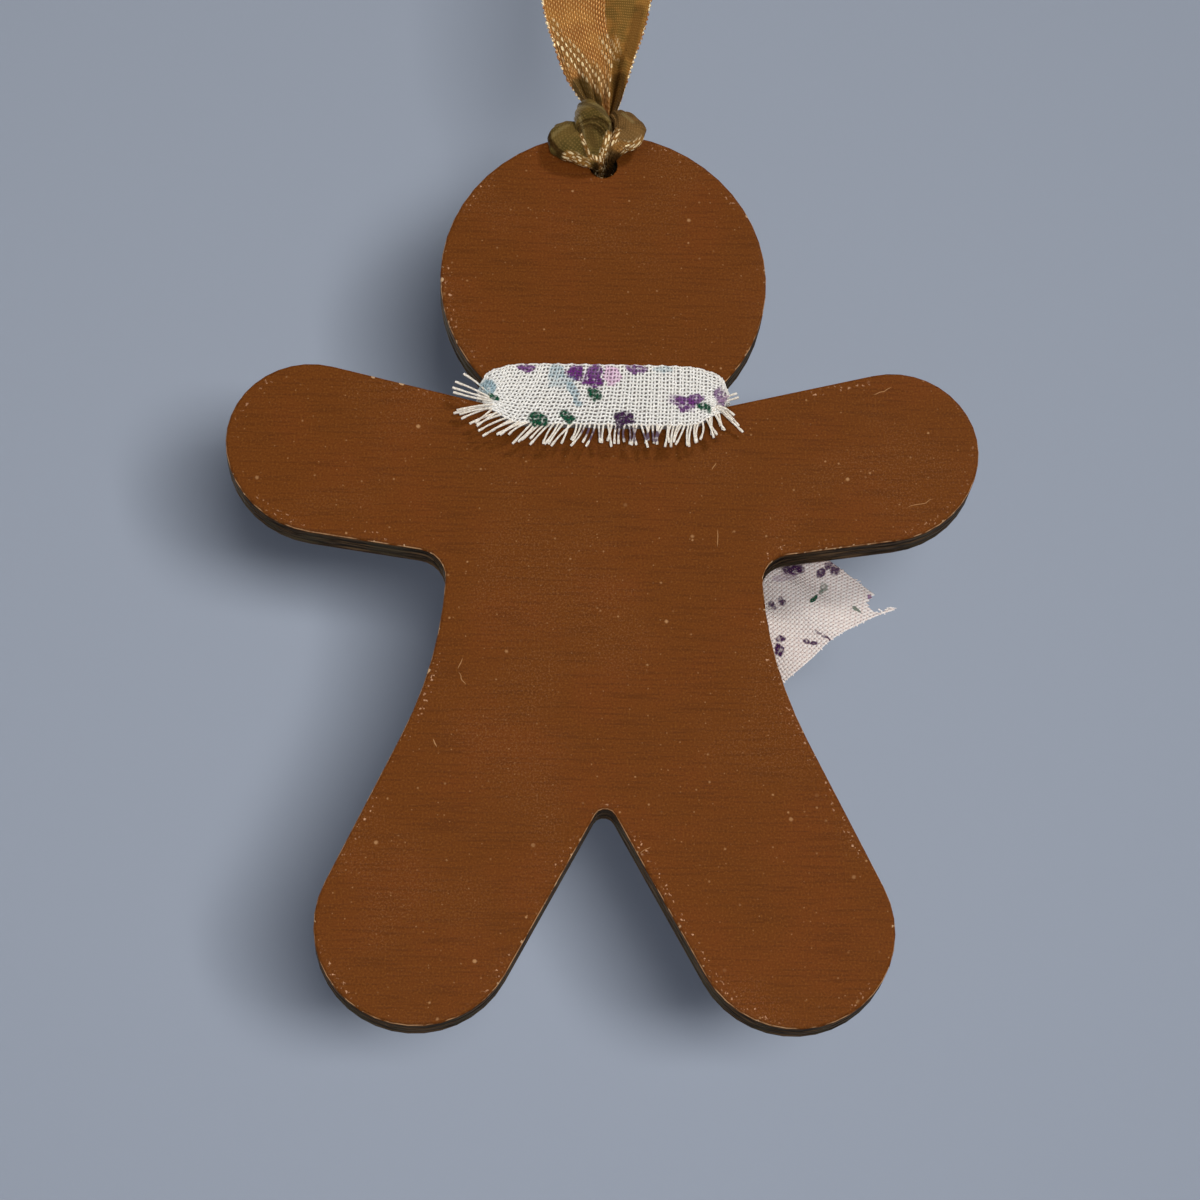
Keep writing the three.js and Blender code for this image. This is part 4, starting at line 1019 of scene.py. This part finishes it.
scarf = {
    "cotton": (252, 248, 241), "cottonShade": (236, 231, 222),
    "fringe": (248, 240, 226), "fringeShade": (222, 208, 188),
    # hole, ground and wrongHole are painted shade, in the weave's holes and on the cloth under the band's yarns;
    # dashShade is painted light on the threads on top
    "hole": (122, 115, 110), "ground": (140, 133, 127), "wrongSide": (250, 236, 226), "wrongShade": (234, 216, 208),
    "wrongHole": (160, 130, 124), "dashShade": (255, 250, 244),
    "pitch": 0.38, "yarn": 0.12, "over": 0.075, "edgeRow": 0.97, "weftGaps": 16, "yarnsOut": 0.5, "thickness": 0.1,
    "reach": 25.6, "cutLength": 14.2,  # half the band's length round the neck, and both its layers' height
    "neckZ": -97.79, "halfX": 12.95, "halfY": 2.95, "corner": 1.7,
    "top": -94.55, "bottom": -101.75, "frontHeight": 4.9, "squeezed": 0.75,
    "fringeLean": [(-13, 1.25), (-12, 1.2), (-8.2, 0.86), (-4.4, 0.6), (-1.9, 0.36), (0.5, 0.14), (3, 0.06),
                   (5.5, 0.14), (8, 0.3), (9.7, 0.14), (10.8, -0.1), (12, -0.5), (13, -0.7)],  # x, lean to the left
    "fan": [  # loose threads at the two ends of the band: start, end, how far they bow up
        ((-12.2, -3.3, -98.6), (-15.3, -3.2, -95.9), 0.2), ((-12.3, -3.4, -98.8), (-16.2, -3.3, -96.9), 0.1),
        ((-12.2, -3.4, -99.0), (-16.5, -3.3, -97.6), 0.0), ((-12.2, -3.3, -99.1), (-16.4, -3.2, -98.1), -0.1),
        ((-11.8, -3.3, -99.5), (-16.0, -3.1, -100.2), 0.15), ((-11.3, -3.3, -99.9), (-15.7, -3.0, -100.6), 0.2),
        ((-10.8, -3.3, -100.3), (-14.6, -3.0, -101.7), 0.2), ((12.2, -3.4, -98.9), (14.4, -3.2, -97.7), 0.15),
        ((12.3, -3.4, -98.8), (14.6, -3.1, -98.1), -0.1), ((12.1, -3.4, -99.3), (14.1, -3.2, -100.3), 0.3),
        ((12.0, -3.4, -99.4), (13.9, -3.1, -100.9), 0.2), ((11.8, -3.4, -99.6), (12.6, -3.0, -101.5), 0.1),
        ((11.6, -3.4, -99.7), (11.6, -2.9, -102.5), 0.0),
    ],
    "bandPrint": [  # x, z, half length, half height, turn, ink, strength
        (-8.6, -95.2, 1.0, 0.5, 0, "purple", 0.95), (-3.2, -95.7, 0.95, 0.9, 20, "purple", 1.0),
        (-1.1, -95.5, 0.9, 0.9, 0, "purple", 0.95), (-1.3, -96.7, 1.15, 0.7, -10, "purple", 1.0),
        (3.5, -95.1, 1.2, 0.55, 0, "purple", 0.9), (8.5, -99.1, 1.5, 0.95, -15, "purple", 0.95),
        (9.9, -98.5, 0.8, 0.6, 30, "purple", 0.9), (12.6, -98.0, 0.7, 1.1, 10, "purple", 0.8),
        (2.1, -100.9, 1.2, 0.75, -25, "plum", 1.0), (1.5, -101.6, 0.5, 0.8, 0, "plum", 0.95),
        (-5.2, -95.6, 1.0, 1.0, 0, "teal", 0.5), (-4.6, -96.8, 1.6, 0.7, 20, "teal", 0.35),
        (6.4, -95.1, 1.2, 0.5, 0, "teal", 0.4), (-12.7, -97.4, 0.8, 1.3, 30, "teal", 0.7),
        (-3.2, -98.3, 0.4, 1.6, 25, "teal", 0.55), (0.8, -96.0, 0.9, 1.3, 0, "pink", 0.55),
        (-1.2, -98.2, 0.85, 0.7, -35, "green", 1.0), (-7.2, -101.2, 1.15, 0.8, -10, "green", 1.0),
        (-4.1, -100.9, 1.0, 0.65, -30, "green", 1.0), (10.9, -99.4, 0.95, 0.6, -35, "green", 1.0),
        # the plum flecks below z -102 lie under the band's edge and tint only its fringe
        (-11.9, -98.6, 0.6, 0.35, -20, "green", 1.0), (-1.5, -102.7, 1.2, 0.7, 0, "plum", 0.9),
        (2.6, -102.7, 1.3, 0.8, 0, "plum", 0.9), (5.2, -103.1, 1.4, 0.6, 0, "plum", 0.9),
    ],
    "tailPrint": [
        (20.9, -115.3, 1.2, 0.75, 15, "plum", 1.0), (20.0, -116.3, 1.5, 0.5, 15, "purple", 0.35),
        (23.9, -115.8, 0.5, 0.55, -40, "plum", 0.95), (25.3, -115.2, 0.65, 0.9, 20, "plum", 0.95),
        (24.6, -115.1, 0.35, 0.5, 0, "plum", 0.9), (18.4, -119.3, 0.4, 0.35, -30, "plum", 0.95),
        (19.5, -119.0, 0.55, 0.3, -35, "plum", 0.95), (18.8, -119.75, 0.3, 0.3, 0, "plum", 0.8),
        (19.3, -123.4, 0.5, 0.5, -10, "plum", 1.0), (19.2, -124.7, 0.45, 0.7, 20, "plum", 1.0),
        (24.2, -117.3, 0.45, 0.55, 0, "leaf", 0.7), (23.9, -117.9, 0.3, 0.3, 0, "leaf", 0.8),
        (23.1, -118.8, 0.65, 0.28, 50, "green", 1.0), (27.8, -119.8, 0.6, 0.22, -30, "leaf", 0.85),
        (23.4, -122.6, 0.45, 0.18, -15, "plum", 0.7), (22.2, -123.5, 0.5, 0.22, -25, "plum", 0.95),
        (24.2, -123.1, 0.55, 0.2, -15, "plum", 0.95), (23.0, -123.8, 0.4, 0.2, 0, "plum", 0.95),
        (25.0, -123.7, 0.75, 0.18, -40, "plum", 0.95), (29.2, -118.5, 0.5, 0.25, -45, "purple", 0.8),
    ],
    "inks": {"purple": (112, 48, 122), "plum": (66, 30, 72), "teal": (104, 154, 170), "pink": (222, 150, 204),
             "green": (6, 78, 50), "leaf": (78, 104, 84)},
}


def printed(tree, ground, motifs, depth, faded, wander):
    # the small flowers and leaves of the print, one fleck at a time
    coords = placeInMm(tree)
    bent = warped(coords, 0.85, 2, wander)
    takes = ramp(cloudy(coords, 2.3, 2), 0.3, 0.52, 0.45, 1.0)  # some threads take less ink
    layers = []
    for x, z, length, height, turn, ink, strength in motifs:
        mask = times(fleckMask(bent, wander, (x, depth, z), (length, 3.5, height), turn), takes)
        layers.append((mask, strength * faded, ink))
    return layered(scarf["inks"], ground, layers)


def startCotton(values, name, light, dark, scale):
    # cotton that is a little darker here and there
    constants = {"Roughness": 0.95, "Specular IOR Level": 0.1, "Sheen Weight": 0.06}
    material, tree, shader = startMaterial(name, constants)
    fibres = cloudy(placeInMm(tree), scale, 2)
    return material, tree, shader, layered(values, dark, [(ramp(fibres, 0.3, 0.7), light)])


def cottonYarn(values, name, light):
    material, tree, shader, shade = startCotton(values, name, light, light + "Shade", 4.0)
    shade = printed(tree, shade, values["bandPrint"], -3.4, 1.0, 1.7)
    dress(shader, shade, cloudy(placeInMm(tree), 11, 2), 0.03)
    return material


def cottonCloth(values, name, light, dark, hole, dashes, faded, printing=None):
    # cloth whose weave is drawn by its threads; scattered print where no print is listed
    material, tree, shader, shade = startCotton(values, name, light, dark, 3.0)
    coords = threadsInMm(tree)
    weave = placeGroup(plainWeave, coords, {"Pitch": values["pitch"], "Wander": 0.12, "Hole": 0.34})
    # painted light on the threads that lie on top, and painted shade between the rows
    if dashes:
        gaps = reckon("SUBTRACT", 1, weave["Rows"])
        shade = layered(values, shade, [(weave["Over"], dashes, "dashShade"), (gaps, 0.3, hole)])
    if printing:
        shade = printed(tree, shade, values[printing["motifs"]], printing["depth"], faded, printing["wander"])
    else:
        flecks = placeGroup(scatteredPrint, coords, {})
        shade = mixColour(times(flecks["Mask"], faded), shade, flecks["Ink"])
    # painted shade in the holes between the threads
    dress(shader, layered(values, shade, [(weave["Gap"], 0.9, hole)]), weave["Height"], 0.14)
    return material


def routePoint(run):
    # once round the neck, measured from the middle of the back, right side positive
    side, far = (1 if run >= 0 else -1), abs(run)
    flat, corner = scarf["halfX"] - scarf["corner"], scarf["corner"]
    arc, wall = corner * math.pi / 2, 2 * (scarf["halfY"] - corner)
    if far < flat:
        spot, out = (far, -scarf["halfY"]), (0, -1)
    elif far < flat + arc:
        angle = (far - flat) / corner
        out = (math.sin(angle), -math.cos(angle))
        spot = (flat + corner * out[0], corner - scarf["halfY"] + corner * out[1])
    elif far < flat + arc + wall:
        spot, out = (scarf["halfX"], corner - scarf["halfY"] + far - flat - arc), (1, 0)
    elif far < flat + 2 * arc + wall:
        angle = (far - flat - arc - wall) / corner
        out = (math.cos(angle), math.sin(angle))
        spot = (flat + corner * out[0], scarf["halfY"] - corner + corner * out[1])
    else:
        spot, out = (flat - (far - flat - 2 * arc - wall), scarf["halfY"]), (0, 1)
    return Vector((side * spot[0], spot[1], 0)), Vector((side * out[0], out[1], 0))


def bandPlace(run, height, out):
    # a point of the band: along the route, height from -1 to 1, and how far out of its middle layer
    spot, way = routePoint(run)
    wide = eased(abs(spot.y), 1.7, 2.4)
    half = (scarf["top"] - scarf["bottom"]) / 2 if spot.y < 0 else scarf["frontHeight"] / 2
    middle = (scarf["top"] + scarf["bottom"]) / 2 if spot.y < 0 else scarf["neckZ"]
    half *= 1 - (0.22 if height > 0 else 0.55) * eased(abs(spot.x), 9.5, 13.4)
    half = scarf["squeezed"] + (half - scarf["squeezed"]) * wide
    middle = scarf["neckZ"] + (middle - scarf["neckZ"]) * wide
    pleat = 0.42 * math.sin(height * 9.5) * (1 - wide)
    sag = 0.25 * eased(abs(spot.x), 6, 13) * wide
    return spot + way * (out * (1 - 0.35 * (1 - wide)) + pleat) + Vector((0, 0, middle + half * height - sag * height))


def foldedOut(height, out):
    # the outer layer turns in over the fold at the top
    past = clamped((height - 0.86) / 0.14)
    return out * math.sqrt(1 - past * past)


def outerPlace(run, height, out, over=0, jitter=0):
    # a point of the outer layer, whose upright threads lean to the left as they go down, most on the left side
    lean = -(3.6 * (1 - eased(run, -12, 7)) + 0.3) * ((1 - height) / 2) ** 1.4 * (1 - 0.6 * eased(abs(run), 10, 15))
    return bandPlace(run + lean, height + jitter, foldedOut(height, out) + over)


def looseThread(start, end, bend, swells, drop=0):
    # one thread from start to end that bows upwards, with its thickness at each of its points
    line = []
    for step, swell in enumerate(swells):
        part = step / (len(swells) - 1)
        bow = Vector((0, drop * part, bend * math.sin(part * math.pi)))
        line.append((Vector(start).lerp(Vector(end), part) + bow, swell))
    return line


def bandYarns(values, warps):
    edge, gaps, out, lines = values["edgeRow"], values["weftGaps"], values["yarnsOut"], []
    wefts = [-edge + 2 * edge * step / gaps for step in range(gaps + 1)]
    for column, run in enumerate(warps):
        overs = [values["over"] * (1 if (row + column) % 2 else -1) for row in range(len(wefts))]
        line = [(outerPlace(run, height, out, over), 1) for height, over in zip(wefts, overs)]
        lines.append(line + [(bandPlace(run, 1.0, 0.0), 1), (bandPlace(run, 0.93, -0.45), 1)])
    for row, height in enumerate(wefts):
        line = []
        for column, run in enumerate(warps):
            over = values["over"] * (-1 if (row + column) % 2 else 1)
            line.append((outerPlace(run, height, out, over, 0.02 * math.sin(column * 1.7 + row)), 1))
        lines.append(line)
    return lines


def bandFringe(values, warps):
    fringe = []
    for run in warps:
        spot = outerPlace(run, -values["edgeRow"], values["yarnsOut"])
        back = spot.y < 0
        if abs(spot.y) < 2.2:  # no fringe at the sides of the neck
            continue
        length = random.uniform(1.7, 2.6) if back else random.uniform(1.2, 2.0)
        lean = random.gauss(0, 0.14)
        if back:
            lean -= between(values["fringeLean"], spot.x)
            length *= min(1 / math.cos(lean), 1.4)
        way = Vector((math.sin(lean), 0, -math.cos(lean)))
        curl, bow = random.uniform(-0.3, 0.3), random.uniform(-0.2, 0.2)
        line = []
        for step in range(9):
            part = step / 8
            drop = spot + way * length * part
            drop.x += curl * part ** 2 + bow * math.sin(part * math.pi)
            away = 0.28 * part * random.uniform(0.6, 1) - 0.12 * math.sin(part * 3)
            drop.y += away if back else -away
            line.append((drop, 1.0 - 0.15 * part + {7: 0.45, 8: 0.25}.get(step, 0)))
        fringe.append(line)
    return fringe + [looseThread(start, end, bend, [0.9] * 6 + [1.15] * 2) for start, end, bend in values["fan"]]


def makeBand(values):
    random.seed(11)
    pitch, reach = values["pitch"], values["reach"]
    warps = [-reach + pitch * step for step in range(int(2 * reach / pitch) + 1)]
    warps = [run + random.uniform(-0.05, 0.05) for run in warps]
    yarns = threadPiece("bandYarns", bandYarns(values, warps), values["yarn"], yarnCotton, 0)
    fringe = threadPiece("bandFringe", bandFringe(values, warps), values["yarn"] * 1.02, fringeCotton, 1)

    def clothAt(across, along):
        run = reach * (2 * across - 1)
        if along < 0.5:
            return outerPlace(run, -1.0 + 4 * along, 0.3)
        height = 1.0 - 4 * (along - 0.5)
        return bandPlace(run, height, -foldedOut(height, 0.42))

    size = (2 * reach, values["cutLength"])
    cloth = clothPiece("bandCloth", 260, 48, size, clothAt, [bandCotton, bandCotton], values["thickness"])
    declare([cloth, yarns, fringe], "figure", "scarf_neck_band")


yarnCotton = cottonYarn(scarf, "cottonYarn", "cotton")
fringeCotton = cottonYarn(scarf, "fringeYarn", "fringe")
# the band's inner cloth is painted grey: painted shade under the yarns, where the cotton is white
bandCotton = cottonCloth(scarf, "bandCloth", "ground", "hole", "hole", 0, 0.6,
                         {"motifs": "bandPrint", "depth": -3.0, "wander": 1.7})
scarfCotton = cottonCloth(scarf, "scarfCloth", "cotton", "cottonShade", "hole", 0, 0.85)
wrongCotton = cottonCloth(scarf, "scarfWrongSide", "wrongSide", "wrongShade", "wrongHole", 0.5, 1.0,
                          {"motifs": "tailPrint", "depth": 3.6, "wander": 0.9})
makeBand(scarf)
print("scarf band made")


# the scarf's two tails and its knot, on the front

tails = {
    "gathered": 5.2, "pleatDepth": 1.9, "start": 0.6, "turnShare": 0.3, "thickness": 0.16,
    "y": 3.45, "z": -101.29, "sidePitch": 0.42, "endPitch": 0.4,
    "frayRadius": 0.085, "sideFrays": (0.25, 0.99), "sideBare": 0.65, "endBare": 0.6,
    "long": {"x": 3.224, "angle": -55.6, "length": 31.8, "width": 25, "pleats": 4, "rise": 0.4, "aside": 0.6,
             "hollow": [(0, 0.1), (0.3, 0.2), (0.45, 0.35), (0.57, 0.8), (0.68, 1.3), (0.87, 1.05), (1, 0.25)],
             "torn": [(30.15, -119.25, 1.25, 1.0)],
             "loose": [((31.0, 3.9, -119.75), (32.1, 4.0, -119.6), 0.05),
                       ((30.8, 3.9, -119.9), (31.8, 4.0, -119.75), 0.0)]},
    "short": {"x": -2.6, "angle": -100, "length": 25, "width": 19, "pleats": 3.5, "rise": 1.2, "aside": 0,
              "hollow": [(0, 0), (0.25, 0.68), (0.5, 0.9), (0.75, 0.68), (1, 0)], "torn": [], "loose": []},
}


def tailPlace(tail):
    angle = math.radians(tail["angle"])
    way = Vector((math.cos(angle), math.sin(angle)))

    def placeAt(across, along):
        turn = (angle + math.pi / 2) * eased(along, 0, tails["turnShare"])
        aside = Vector((math.cos(turn), math.sin(turn)))
        half = (tails["gathered"] + (tail["width"] - tails["gathered"]) * max(along, 0) ** 0.9) / 2
        reach = (2 * across - 1) * half + tail["aside"] * along
        advance = (tail["length"] - between(tail["hollow"], across) * along) * along
        wave = 0.5 - 0.5 * math.cos(across * math.tau * tail["pleats"] + tails["start"])
        fade = math.sin(min(along * 5, 1) * math.pi / 2) ** 2 * (1 - 0.78 * min(along * 1.15, 1))
        ripple = 0.12 * noise.noise(Vector((across * 5, along * 5, tail["length"]))) * along
        flat = way * advance + aside * reach
        y = tails["y"] + tails["pleatDepth"] * wave * fade + tail["rise"] * along + ripple
        return Vector((tail["x"] + flat.x, y, tails["z"] + flat.y))

    return placeAt


def frayThread(start, root, out, length, drift, tip):
    return [(start, 1), (root, 1), (root + out * length * 0.5, 0.9), (root + out * length + drift, tip)]


def tailFrays(tail, placeAt):
    frays, pitch = [], tails["sidePitch"]
    low, high = tails["sideFrays"]
    for step in range(int(tail["length"] / pitch)):
        along = (step + 1) * pitch / tail["length"]
        if along < low or along > high:
            continue
        for across, side in ((0.0, -1), (1.0, 1)):
            root, inner = placeAt(across, along), placeAt(across - side * 0.05, along)
            length = random.uniform(0.05, 0.3)
            drift = Vector((random.uniform(-0.2, 0.2), random.uniform(-0.12, 0.12), random.uniform(-0.25, 0.1)))
            if random.random() < tails["sideBare"] or inTear(root.x, root.z, tail["torn"], 1.9):
                continue
            frays.append(frayThread(inner.lerp(root, 0.5), root, (root - inner).normalized(), length, drift, 0.7))
    pitch = tails["endPitch"]
    for step in range(int(tail["width"] / pitch)):
        across = (step + 0.5) * pitch / tail["width"]
        root, inner = placeAt(across, 1.0), placeAt(across, 0.975)
        length = random.uniform(0.03, 0.16)
        if random.random() < tails["endBare"]:
            continue
        frays.append(frayThread(inner, root, (root - inner).normalized(), length, Vector((0, 0, 0)), 0.75))
    swells = [1 - step / 16 for step in range(9)]
    return frays + [looseThread(start, end, bend, swells, 0.2) for start, end, bend in tail["loose"]]


def makeTail(name, tail, node):
    placeAt = tailPlace(tail)
    size = (tail["width"], tail["length"])
    cloth = clothPiece(name, 96, 120, size, placeAt, [scarfCotton, wrongCotton], tails["thickness"], (), tail["torn"])
    random.seed(len(name))
    fray = threadPiece(name + "Fray", tailFrays(tail, placeAt), tails["frayRadius"], frayCotton, 1)
    for piece in (cloth, fray):
        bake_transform(piece)
    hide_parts(node)


def frayYarn(values):
    constants = {"Roughness": 0.95, "Specular IOR Level": 0.1, "Sheen Weight": 0.06}
    material, tree, shader = startMaterial("frayYarn", constants)
    fibres = cloudy(placeInMm(tree), 3.0, 2)
    join(layered(values, "wrongShade", [(fibres, "cotton")]), shader.inputs["Base Color"])
    return material


frayCotton = frayYarn(scarf)
makeTail("longTail", tails["long"], "scarf_long_tail")
makeTail("shortTail", tails["short"], "scarf_short_tail")

knot = {
    "middle": (0, 4.5, -97.79), "thickness": 0.16, "width": 12,
    "core": [((-4.7, -0.9, 0.2), 1.9, 0.7, (0, 1, 0)), ((-3.2, -0.1, 0.2), 2.2, 1.3, (0, 1, 0)),
             ((0, 0.1, 0), 2.3, 1.6, (0, 1, 0)), ((3.2, -0.1, -0.2), 2.2, 1.3, (0, 1, 0)),
             ((4.7, -0.9, -0.2), 1.9, 0.7, (0, 1, 0))],
    "turn": {"reachX": 0.9, "reachY": 1.75, "reachZ": 2.5, "halfWidth": 1.9, "halfDepth": 0.5},
}


def makeScarfKnot(values, material):
    middle, materials, thickness = Vector(values["middle"]), [material, material], values["thickness"]
    lifted = [((Vector(spot) + middle), width, depth, face) for spot, width, depth, face in values["core"]]
    look = {**knotLook, "seam": -90, "pleat": 0.07, "crumple": 0.25, "rows": 60, "width": values["width"]}
    core = rolledPiece("knotCore", lifted, look, materials, thickness)[0]
    turn, stations = values["turn"], []
    for step in range(13):
        angle = math.tau * (step - 3) / 12
        out = Vector((0.25 * math.sin(angle), math.cos(angle), math.sin(angle)))
        spot = middle + Vector((turn["reachX"] * out.z, turn["reachY"] * out.y, turn["reachZ"] * out.z))
        stations.append((spot, turn["halfWidth"], turn["halfDepth"], (0, out.y, out.z)))
    wrap, length = rolledPiece("knotTurn", stations, {**look, "pleat": 0.1, "rows": 80}, materials, thickness)
    declare([core, wrap], "figure", "scarf_knot")


makeScarfKnot(knot, scarfCotton)
print("scarf tails and knot made")
